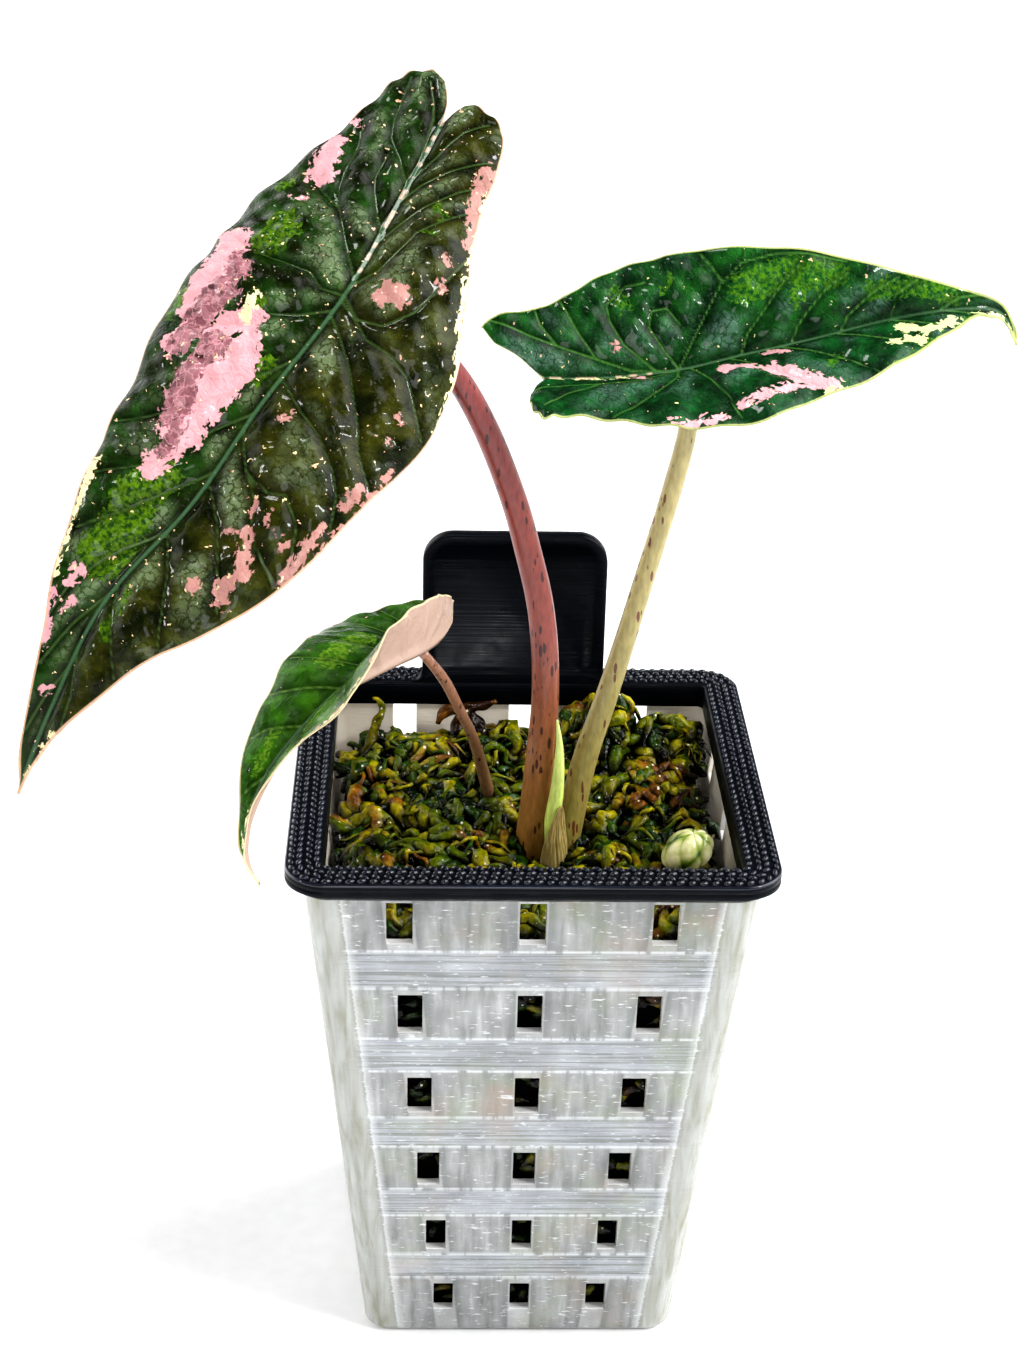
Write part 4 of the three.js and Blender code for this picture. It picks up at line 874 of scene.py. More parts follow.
def make_tab(material):
    """The label tab: a border standing round a recessed face, printed upright."""
    foot, recess_foot, soft = COLLAR_FLAT - 0.1, COLLAR_TOP + TAB_BORDER, 0.35
    flare, turned_in = TAB_FOOT_FILLET, TAB_BORDER - TAB_CORNER
    back = TAB_FRONT_Y + TAB_THICKNESS
    recess = TAB_FRONT_Y + TAB_RECESS
    loops = [
        [(x, back, z) for x, z in tab_outline(soft, foot, flare)],
        [(x, back - soft, z) for x, z in tab_outline(0, foot, flare)],
        [(x, TAB_FRONT_Y + soft, z) for x, z in tab_outline(0, foot, flare)],
        [(x, TAB_FRONT_Y, z) for x, z in tab_outline(soft, foot, flare)],
        [(x, TAB_FRONT_Y, z) for x, z in tab_outline(TAB_BORDER - 0.2, recess_foot - 0.2, turned_in)],
        [(x, TAB_FRONT_Y + 0.15, z) for x, z in tab_outline(TAB_BORDER, recess_foot, turned_in)],
        [(x, recess, z) for x, z in tab_outline(TAB_BORDER, recess_foot, turned_in)],
    ]
    return lofted("label_tab", np.array(loops) + (TAB_CENTRE_X, 0, 0), material)


# Moss

MOSS_LEVEL = 93.5
MOSS_SLOPE = 0.07
MOSS_SHOULDER = 84
# x, y, spread, height: the mounds that stand above the rest
MOSS_CLUMPS = [
    (15, 26, 6.5, 12), (30, 25, 7, 7.5), (26, 4, 8, 3), (-20, 18, 9, 2), (-9, 27, 7, 2.5),
    (-24, -12, 8, 2), (18, -20, 8, 1), (-8, -22, 9, 1), (28, -23, 4, 4),
]


def moss_height(x, y):
    height = MOSS_LEVEL + MOSS_SLOPE * y - 4.5 * np.exp(-((x - 4) ** 2 + (y + 9) ** 2) / 8 ** 2)
    for cx, cy, spread, rise in MOSS_CLUMPS:
        height = height + rise * np.exp(-((x - cx) ** 2 + (y - cy) ** 2) / spread ** 2)
    return height + 0.9 * np.sin(0.9 * x + 1.3) * np.cos(0.8 * y) + 0.7 * np.sin(0.55 * (x + y))


def even_square(half, radius, z):
    """A rounded square of 120 evenly spaced points."""
    corners = np.array(rounded_square(half, radius, z, 10))
    corners = np.vstack([corners, corners[:1]])
    run = np.r_[0, np.cumsum(np.linalg.norm(np.diff(corners, axis=0), axis=1))]
    return read_curve(corners, run, np.linspace(0, run[-1], 120, endpoint=False))


def make_moss_bed(material):
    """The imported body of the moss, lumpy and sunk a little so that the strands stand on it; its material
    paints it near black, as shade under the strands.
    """
    inner = lambda z: wall_half(z) - POT_WALL - GAP
    corner = POT_CORNER - POT_WALL
    loops = [even_square(inner(POT_FLOOR) - 2.2, corner, POT_FLOOR + GAP)]
    for z in np.linspace(POT_FLOOR + 2.5, MOSS_SHOULDER, 20):
        loops.append(even_square(inner(z) - 0.6, corner, z))
    for share in np.linspace(1, 0.03, 36):
        half = 33.6 * share
        loop = even_square(half, half * 0.3, 0)
        x, y = loop[:, 0], loop[:, 1]
        lumps = (0.8 * np.sin(1.7 * x + 2 * np.sin(0.9 * y)) * np.cos(1.5 * y)
                 + 0.5 * np.sin(2.9 * x - 1.7 * y))
        loop[:, 2] = moss_height(x, y) + lumps - 2.2 - 3 * max(0, 4 * share - 3)
        loops.append(loop)
    return lofted("moss_bed", loops, material)


def strand_tree():
    """Short fat curled strands strewn over a surface: each bends over and tapers at both ends."""
    tree, add, inputs = node_group(
        "moss strands", Float=["Count per Area", "Length", "Radius", "Lift", "Curl", "Lump"], Int=["Seed"],
        Material=["Material"])
    points = add("DistributePointsOnFaces", {"Mesh": inputs["Geometry"], "Density": inputs["Count per Area"],
            "Seed": inputs["Seed"]})
    tone = add("RandomValue", {"Seed": inputs["Seed"]})
    kept = add("StoreNamedAttribute", {"Geometry": points, "Name": "tone", "Value": tone})
    line = add("CurveQuadraticBezier", {"Resolution": 12, "Start": (-0.5, 0, -0.12),
            "Middle": (-0.05, 0.3, 0.62), "End": (0.5, -0.1, -0.1)})
    spin = add("RandomValue FLOAT_VECTOR", {"Min": (-0.5, -0.5, 0), "Max": (0.5, 0.5, 6.28),
            "Seed": inputs["Seed"]})
    turned = add("EulerToRotation", {"Euler": spin})
    stretch = add("RandomValue", {"Min": 0.65, "Max": 1.35, "Seed": inputs["Seed"]})
    length = add("Math MULTIPLY", [inputs["Length"], stretch])
    height = add("Math MULTIPLY", [inputs["Lift"], stretch])
    size = add("CombineXYZ", {"X": length, "Y": length, "Z": height})
    strands = add("InstanceOnPoints", {"Points": kept, "Instance": line, "Rotation": turned, "Scale": size})
    real = add("RealizeInstances", [strands])
    place = add("InputPosition")
    wander = add("TexNoise", [place, 190, 1]).outputs["Color"]
    centred = add("VectorMath SUBTRACT", [wander, (0.5, 0.5, 0.5)])
    push = add("VectorMath SCALE", [centred, inputs["Curl"]])
    bent = add("SetPosition", {"Geometry": real, "Offset": push})
    along = add("SplineParameter")
    half_turn = add("Math MULTIPLY", [along, math.pi])
    arch = add("Math SINE", [half_turn])
    # The arch's height is kept as lift; the moss material paints the low ends of each strand in shade
    marked = add("StoreNamedAttribute", {"Geometry": bent, "Name": "lift", "Value": arch})
    ends = add("MapRange", [along, 0, 0.16, 0.35])
    tip = add("MapRange", [along, 0.55, 1.0, 1.0, 0.22])
    shape = add("Math MULTIPLY", [ends, tip])
    beads = add("Math MULTIPLY", [along.outputs["Length"], 2 * math.pi / (2.3 * MM)])
    swell = add("Math SINE", [beads])
    beaded = add("Math MULTIPLY_ADD", [swell, 0.13, 1.0])
    scaled = add("Math MULTIPLY", [beaded, shape])
    sized = add("Math MULTIPLY", [scaled, inputs["Radius"]])
    profile = add("CurvePrimitiveCircle", {"Resolution": 8, "Radius": 1.0})
    skin = add("CurveToMesh", {"Curve": marked, "Profile Curve": profile, "Scale": sized, "Fill Caps": True})
    spot = add("InputPosition")
    lumps = add("TexNoise", [spot, 620, 1]).outputs["Color"]
    level = add("VectorMath SUBTRACT", [lumps, (0.5, 0.5, 0.5)])
    dent = add("VectorMath SCALE", [level, inputs["Lump"]])
    leafy = add("SetPosition", {"Geometry": skin, "Offset": dent})
    # The wall stops the strands: no point passes its inner face, which leans out with height
    here = add("SeparateXYZ", [add("InputPosition")]).outputs
    wall = add("Math MULTIPLY_ADD", [here["Z"], WALL_LEAN, (POT_FOOT_WIDTH / 2 - POT_WALL - 0.2) * MM])
    opposite = add("Math MULTIPLY", [wall, -1.0])
    kept_in = {}
    for axis in ("X", "Y"):
        short = add("Math MINIMUM", [here[axis], wall])
        kept_in[axis] = add("Math MAXIMUM", [short, opposite])
    inside = add("CombineXYZ", {"X": kept_in["X"], "Y": kept_in["Y"], "Z": here["Z"]})
    stopped = add("SetPosition", {"Geometry": leafy, "Position": inside})
    group_result(add, stopped, inputs["Material"])
    return tree


def moss_surface(half, spacing=1.5):
    """A sheet over the top of the moss that the strands are strewn on."""
    count = int(2 * half / spacing) + 1
    x, y = np.meshgrid(np.linspace(-half, half, count), np.linspace(-half, half, count), indexing="ij")
    edge = np.maximum(np.abs(x), np.abs(y)) / 34.6
    z = moss_height(x, y) - 3 * np.clip(4 * edge - 3, 0, None) - 0.9
    faces = [face[::-1] for face in grid_faces(count, count)]
    return np.column_stack([x.ravel(), y.ravel(), z.ravel()]), faces


def strew(name, tree, material, sheet, density, length, radius, lift, curl, lump, seed):
    """Moss strands on a sheet of points and faces: so many a square metre, of that size in millimetres."""
    piece = new_object(name + "_bed", new_mesh(name + "_bed", *sheet), material)
    grow_with(piece, tree, {
        "Count per Area": density, "Length": length * MM, "Radius": radius * MM, "Lift": lift * MM,
        "Curl": curl * MM, "Lump": lump * MM, "Seed": seed, "Material": material})
    return settled(piece, name, material)


def window_patches():
    """Small upright patches of the moss's side, one behind each window."""
    points, faces = [], []
    for low, high, width, spacing in WINDOW_ROWS:
        high = min(high, MOSS_LEVEL + 1.5)
        for column in (-1, 0, 1):
            for quarter in range(4):
                turn = quarter * math.pi / 2
                for x, z in ((-1, low), (1, low), (1, high), (-1, high)):
                    across, out = column * spacing + x * (width / 2 + 1), wall_half(z) - POT_WALL - 2.2
                    points.append((across * math.cos(turn) - out * math.sin(turn),
                                   across * math.sin(turn) + out * math.cos(turn), z))
                faces.append([len(points) - k for k in (1, 2, 3, 4)])
    return points, faces


# Long pieces that curl up out of the bed: places up each, its radius at each and its tone
MOSS_CURLS = [
    ([(-30, 24, 92), (-29.4, 27, 96.5), (-28.6, 29.2, 100), (-27.2, 30, 103), (-27.8, 30.2, 105.2),
      (-29, 30, 105.8)], [2.2, 1.7, 1.2, 0.9, 0.7, 0.3], 1.0),
    ([(-24, 24, 92), (-24, 26, 96), (-23.6, 27.6, 98.5), (-25.4, 28.6, 100.4)], [1.8, 1.5, 1.1, 0.4], 0.92),
    ([(-7, 25, 93), (-7.6, 28, 98), (-9.6, 30, 101.4), (-12.5, 30.6, 103.2), (-15.4, 30, 102.6),
      (-16.4, 29.6, 100.6)], [1.8, 1.7, 1.5, 1.4, 1.2, 0.5], 1.3),
    ([(-12, 26, 94), (-12.6, 29, 99), (-10.6, 30, 103.4), (-7, 30.2, 104.4), (-5, 30, 105.4)],
     [1.4, 1.5, 1.4, 1.0, 0.4], 1.25),
    ([(12, 23, 98), (12.6, 24.6, 104), (15, 25.6, 107), (18.4, 26, 106.6), (21, 24.6, 102)],
     [1.8, 2.0, 2.0, 1.9, 1.2], 0.2),
    ([(9, 22, 94), (8.6, 23.4, 99), (9.6, 24.4, 102.6), (12.4, 23.6, 103)], [1.8, 2.0, 1.7, 0.8], 0.3),
    ([(20, 22, 96), (21.6, 23.4, 101), (24.6, 23.6, 101.6), (26, 22, 98)], [1.8, 1.9, 1.7, 0.9], 0.25),
]


def make_curls(material):
    places, faces, tones, shade_lifts = [], [], [], []
    rings, sides = 60, 14
    for points, radii, tone in MOSS_CURLS:
        lumps = lambda share, angle: (1 + 0.16 * np.sin(31 * share + 2 * angle)
                                      + 0.1 * np.cos(3 * angle - 19 * share))
        ring, _ = tube_points(points, radii, rings, sides, lumps)
        start = sum(len(part) for part in places)
        skin = capped(grid_faces(rings, sides, closed=True), rings, sides)
        faces += [[k + start for k in face] for face in skin]
        places.append(ring)
        tones += [tone] * len(ring)
        # Lift rises along each curl from its foot, so the material paints its foot in shade
        shade_lifts += np.repeat(0.35 + 0.6 * np.linspace(0, 1, rings), sides).tolist()
    return new_object("moss_tall_curls", new_mesh("moss_tall_curls", np.vstack(places), faces, {
        "tone": tones, "lift": shade_lifts}), material)


def make_bud(material):
    """A plump pale bud in the moss: lobes wound round a short axis, meeting at its top."""
    rows, columns, centre, size = 48, 96, (28.3, -17, 99.2), (4.6, 4.2, 4.4)
    polar = np.repeat(np.linspace(0.03, math.pi - 0.03, rows), columns)
    turn = np.tile(np.linspace(0, 2 * math.pi, columns, endpoint=False), rows)
    lobe = (0.62 * np.abs(np.sin(1.5 * turn + 1.1 * polar + 0.4)) ** 0.5
            + 0.38 * np.abs(np.sin(3.5 * turn - 1.7 * polar)) ** 0.6)
    reach = 0.78 + 0.22 * lobe * np.sin(polar) ** 0.5
    places = np.column_stack([reach * np.sin(polar) * np.cos(turn), reach * np.sin(polar) * np.sin(turn),
            reach * np.cos(polar)])
    places[:, 0] += 0.25 * places[:, 2]
    faces = capped(grid_faces(rows, columns, closed=True), rows, columns)
    return solid_object("moss_bud", places * size + centre, faces, material, {"lobe": lobe})


# Materials

def bud_material():
    """Fresh plump bud: waxy cream ridges over green folds, wet like the moss round it."""
    material, add = new_material("pale moss bud")
    place = add("TexCoord").outputs["Object"]
    lobe = add("Attribute", attribute_name="lobe").outputs["Fac"]
    mottle = add("TexNoise", [place, 420, 3])
    lot = add("Math MULTIPLY_ADD", [mottle, 0.9, -0.45])
    share = add("Math", [lobe, lot])
    colour = add("ValToRGB", [share], [(0.3, "#3c5c10"), (0.55, "#8aa23c"), (0.8, "#cdd08a"),
            (1.0, "#ebe8b6")])
    bump = add("Bump", {"Height": mottle, "Strength": 0.3, "Distance": 0.3 * MM})
    return closed(material, add, {"Base Color": colour, "Roughness": 0.32, "IOR": 1.42, "Coat Weight": 0.6,
            "Coat Roughness": 0.08, "Normal": bump})


def leaf_material(name, deep, warm, cool, bright, under, under_bright, cream, pink, mauve, rim, speck_level,
                  sheen_share, sheen_colour, vein):
    """Living leaf, quilted and waxy: crisp highlights on each cushion and fine creases between the veins. The
    variegation is cell lines without green, so each patch has stepped, ragged edges about a millimetre
    across, with stray cells beside it. The right half is warmer than the left. A pale painted sheen lies on
    the tops of some cushions near the midrib, and the veins lie in painted valley shade."""
    material, add = new_material(name)
    leaf = add("Attribute", attribute_name="leaf")
    veins = add("Attribute", attribute_name="veins")
    marks = add("Attribute", attribute_name="marks").outputs["Vector"]
    mauve_mark = add("Attribute", attribute_name="mauve").outputs["Fac"]
    side = add("SeparateXYZ", [leaf.outputs["Vector"]]).outputs
    near = add("SeparateXYZ", [veins.outputs["Vector"]]).outputs
    mark = add("SeparateXYZ", [marks]).outputs
    # Cells between the finest veins, in leaf millimetres
    drift = add("TexNoise 2D", [leaf.outputs["Vector"], 0.9]).outputs["Color"]
    wobble = add("VectorMath MULTIPLY_ADD", [drift, (0.7, 0.7, 0), leaf.outputs["Vector"]])
    cells = add("TexVoronoi 2D", [wobble, 0.95])
    cell = add("SeparateColor", [cells.outputs["Color"]])
    fine = add("TexVoronoi 2D", [wobble, 2.1])
    crumb = add("SeparateColor", [fine.outputs["Color"]]).outputs["Red"]
    jitter = add("Math MULTIPLY_ADD", [cell.outputs["Red"], 1.3, -0.85])
    ragged = add("Math MULTIPLY_ADD", [crumb, 0.6, jitter])
    shifts = {}
    for label, depth in (("pink", mark["X"]), ("lime", mark["Y"]), ("cream", mark["Z"]),
                         ("mauve", mauve_mark)):
        edge = add("Math", [depth, ragged])
        shifts[label] = add("MapRange", [edge, 0.3, 0.5])
    # Greens: slow clouds from deep to warm or cool, and each cell a little lighter or darker than the next
    clouds = add("TexNoise 2D", [leaf.outputs["Vector"], 0.2, 4])
    half = add("MapRange", [side["Y"], -4, 3])
    lit = add("Mix", [half, warm, cool])
    tint = add("MapRange", [clouds, 0.34, 0.68])
    green = add("Mix", [tint, deep, lit])
    patchy = add("MapRange", [cell.outputs["Green"], 0, 1, 0.72, 1.4])
    mottled = add("Mix MULTIPLY", [1.0, green, patchy])
    # Painted sheen: pale grey-green on the tops of some cushions near the midrib, parted by the finest veins
    loose = add("VectorMath MULTIPLY_ADD", [drift, (2.2, 2.2, 0), leaf.outputs["Vector"]])
    parts = add("TexVoronoi 2D DISTANCE_TO_EDGE", [loose, 0.62])
    between = add("MapRange", [parts, 0.02, 0.16, 0.15])
    crown = add("MapRange", [near["X"], 0.5, 2.4])
    sheen_clouds = add("TexNoise 2D", [leaf.outputs["Vector"], 0.11, 1])
    sheen_amount = add("MapRange", [sheen_clouds, 0.45, 0.62, 0, sheen_share])
    sideways = add("Math ABSOLUTE", [side["Y"]])
    inward = add("MapRange", [sideways, 6, 15, 1.0, 0.2])
    topped = add("Math MULTIPLY", [between, crown])
    placed = add("Math MULTIPLY", [topped, inward])
    painted_sheen = add("Math MULTIPLY", [placed, sheen_amount])
    sheened = add("Mix", [painted_sheen, mottled, sheen_colour])
    # Lighter green patches, finely mottled
    mottle = add("TexNoise 2D", [leaf.outputs["Vector"], 1.1, 4, 0.65])
    speckled = add("MapRange", [mottle, 0.38, 0.62])
    lime = add("Mix", [speckled, cool, bright])
    limed = add("Mix", [shifts["lime"], sheened, lime])
    # Veins: hair lines paler than the blade, in a valley of painted shade; the midrib broader
    valley_shade = add("MapRange", [near["X"], 0.2, 1.6, 0.5])
    shaded = add("Mix MULTIPLY", [1.0, limed, valley_shade])
    vein_line = add("MapRange", [near["X"], 0.08, 0.36, 0.6, 0.0])
    veined = add("Mix", [vein_line, shaded, vein])
    rib = add("MapRange", [near["Y"], 0.2, 0.55, 0.75, 0.0])
    seam = add("TexNoise 1D", {"W": side["X"], "Scale": 0.22, "Detail": 1})
    behind = add("MapRange", [side["X"], -3, 1, 0.0, -1.0])
    pale = add("Math", [seam, behind])
    parted = add("MapRange", [pale, 0.5, 0.53])
    rib_colour = add("Mix", [parted, "#486a4c", "#dcbfa6"])
    ribbed = add("Mix", [rib, veined, rib_colour])
    # Pink; where a layer of green lies under it, greyer cells stand in a paler net
    blush = add("TexNoise 2D", [leaf.outputs["Vector"], 0.5, 3])
    rose = add("Mix", [blush, pink, "#dcaab0"])
    tan = add("Mix", [half, "#d2cfbc", "#ffffff"])
    warmer = add("Mix MULTIPLY", [1.0, rose, tan])
    meshes = add("TexVoronoi 2D DISTANCE_TO_EDGE", [loose, 0.55])
    inside = add("MapRange", [meshes, 0.02, 0.1, 0.45])
    deeper = add("Math MULTIPLY_ADD", [cell.outputs["Green"], 0.4, 0.6])
    filled = add("Math MULTIPLY", [inside, deeper])
    layered = add("Math MULTIPLY", [shifts["mauve"], filled])
    depth = add("MapRange", [blush, 0.56, 0.64])
    dusky = add("Mix", [depth, mauve, "#43282a"])
    rosy = add("Mix", [layered, warmer, dusky])
    pinked = add("Mix", [shifts["pink"], ribbed, rosy])
    creamed = add("Mix", [shifts["cream"], pinked, cream])
    # Stray pale cells, in loose groups
    grouped = add("TexNoise 2D", [leaf.outputs["Vector"], 0.12, 1])
    lower = add("Math MULTIPLY_ADD", [grouped, -0.14, speck_level + 0.07])
    scatter = add("TexNoise 2D", [wobble, 0.72, 2.5, 0.62])
    over = add("Math SUBTRACT", [scatter, lower])
    fleck = add("MapRange", [over, 0.0, 0.012])
    fleck_colour = add("Mix", [cell.outputs["Blue"], cream, "#e0a48c"])
    flecked = add("Mix", [fleck, creamed, fleck_colour])
    # The back is duller and ruddier, and the same patches show through it
    back = add("Mix", [shifts["pink"], under, under_bright])
    both = add("Mix", [side["Z"], flecked, back])
    border = add("MapRange", [near["Z"], 0.2, 0.34, 0.85, 0.0])
    edged = add("Mix", [border, both, rim])
    # Relief: the net of fine veins is sunk between puffed cells, and creases run over the cushions
    net = add("TexVoronoi 2D DISTANCE_TO_EDGE", [wobble, 0.6])
    sunk = add("MapRange", [net, 0, 0.14])
    groove = add("MapRange", [near["X"], 0, 0.45])
    relief = add("Math MULTIPLY_ADD", [groove, 2.0, sunk])
    creases = add("TexNoise 2D RIDGED_MULTIFRACTAL", {"Vector": wobble, "Scale": 0.5, "Detail": 1.6,
            "Roughness": 0.6, "Offset": 1.0, "Gain": 1.2, "Distortion": 0.8})
    height = add("Math MULTIPLY_ADD", [creases, 1.6, relief])
    smoother = add("Math MULTIPLY_ADD", [side["Z"], -0.75, 1.0])
    calmed = add("Math MULTIPLY", [height, smoother])
    bump = add("Bump", {"Height": calmed, "Strength": 0.32, "Distance": 0.22 * MM})
    gloss = add("MapRange", [clouds, 0, 1, 0.14, 0.24])
    return closed(material, add, {"Base Color": edged, "Roughness": gloss, "IOR": 1.12, "Coat Weight": 0.2,
            "Coat Roughness": 0.07, "Normal": bump})


def stem_material(name, foot, waist, top, length, fleck, fleck_share):
    """Fresh leaf stalk: smooth, waxy and a little translucent, with short dark flecks that run along it."""
    material, add = new_material(name)
    place = add("TexCoord").outputs["Object"]
    run = add("Attribute", attribute_name="run")
    share = add("Math DIVIDE", [run.outputs["Fac"], length])
    base = add("ValToRGB", [share], [(0.05, foot), (0.34, waist), (0.95, top)])
    stretched = add("Mapping", {"Vector": place, "Scale": (1150, 1150, 330)})
    streaks = add("TexNoise", [stretched, 1.3, 4])
    shade = add("MapRange", [streaks, 0.35, 0.7, 0.8, 1.15])
    toned = add("Mix MULTIPLY", [1.0, base, shade])
    spots = add("TexVoronoi", [stretched, 1.2])
    lot = add("SeparateColor", [spots.outputs["Color"]]).outputs["Red"]
    chance = add("Math SUBTRACT", [lot, 1 - fleck_share])
    grown = add("Math MULTIPLY_ADD", [chance, 1.35, 0.0])
    reach = add("Math SUBTRACT", [grown, spots])
    spot = add("MapRange", [reach, 0, 0.08, 0, 0.9])
    flecked = add("Mix", [spot, toned, fleck])
    bump = add("Bump", {"Height": streaks, "Strength": 0.25, "Distance": 0.2 * MM})
    return closed(material, add, {"Base Color": flecked, "Roughness": 0.36, "IOR": 1.42,
            "Subsurface Weight": 0.12, "Subsurface Radius": (0.002, 0.001, 0.0005), "Coat Weight": 0.4,
            "Coat Roughness": 0.15, "Normal": bump})


def papery_material():
    """Dried scale leaf: thin, papery and brown, with fibres that run up it."""
    material, add = new_material("dried scale leaf")
    place = add("TexCoord").outputs["Object"]
    fibres = add("Mapping", {"Vector": place, "Scale": (2600, 2600, 260)})
    strands = add("TexNoise", [fibres, 1.0, 4])
    colour = add("ValToRGB", [strands], [(0.3, "#8c7640"), (0.5, "#ab975c"), (0.72, "#c6b684")])
    bump = add("Bump", {"Height": strands, "Strength": 0.5, "Distance": 0.25 * MM})
    return closed(material, add, {"Base Color": colour, "Roughness": 0.42, "IOR": 1.45, "Normal": bump})


def moss_material(name, wet):
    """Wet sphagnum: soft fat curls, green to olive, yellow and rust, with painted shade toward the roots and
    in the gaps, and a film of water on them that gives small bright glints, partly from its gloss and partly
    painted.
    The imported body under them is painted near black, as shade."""
    material, add = new_material(name)
    place = add("TexCoord").outputs["Object"]
    tone = add("Attribute", attribute_name="tone").outputs["Fac"]
    patches = add("TexNoise", [place, 85, 3])
    mixed = add("Math MULTIPLY_ADD", [patches, 0.9, -0.16])
    lot = add("Math MULTIPLY_ADD", [tone, 0.45, mixed])
    colour = add("ValToRGB", [lot], [(0.22, "#0a1a00"), (0.45, "#254403"), (0.6, "#545e02"),
            (0.71, "#928808"), (0.79, "#74480e"), (0.9, "#261204")])
    ridges = add("TexNoise", [place, 900])
    shade = add("MapRange", [ridges, 0.3, 0.7, 0.45, 1.5])
    leafed = add("Mix MULTIPLY", [1.0, colour, shade])
    # Painted shade: strands dark at their low ends and in the gaps found by occlusion, lighter at the tops of
    # their arches
    lift = add("Attribute", attribute_name="lift").outputs["Fac"]
    depth = add("MapRange", [lift, 0.4, 1, 0.02, 1.2])
    gaps = add("AmbientOcclusion", {"Distance": 3.5 * MM}, samples=6).outputs["AO"]
    gap_shade = add("MapRange", [gaps, 0.45, 0.95, 0.02])
    painted_shade = add("Math MULTIPLY", [depth, gap_shade])
    toned = add("Mix MULTIPLY", [1.0, leafed, painted_shade])
    # Painted glints: small near-white spots on the lifted parts, kept out of the gaps
    beads = add("TexVoronoi", [place, 850])
    pick = add("SeparateColor", [beads.outputs["Color"]]).outputs["Red"]
    reach = add("Math MULTIPLY_ADD", [pick, 0.6, -0.3])
    kept = add("Math MULTIPLY", [reach, gap_shade])
    within = add("Math SUBTRACT", [kept, beads])
    painted_glint = add("MapRange", [within, 0, 0.05, 0, 0.9 if wet else 0.0])
    beaded = add("Mix", [painted_glint, toned, "#f2f0d8"])
    bump = add("Bump", {"Height": ridges, "Strength": 0.7, "Distance": 0.5 * MM})
    return closed(material, add, {"Base Color": beaded, "Roughness": 0.35 if wet else 0.9, "IOR": 1.1,
            "Coat Weight": 0.35 if wet else 0.0, "Coat Roughness": 0.02, "Coat Normal": bump, "Normal": bump})


# Bands of the pot between its window rows, from the foot up: where level print lines show
LINED_BANDS = [(14.2, 20.2), (30.0, 36.4), (46.7, 53.6), (64.4, 71.8), (83.0, 91.0)]


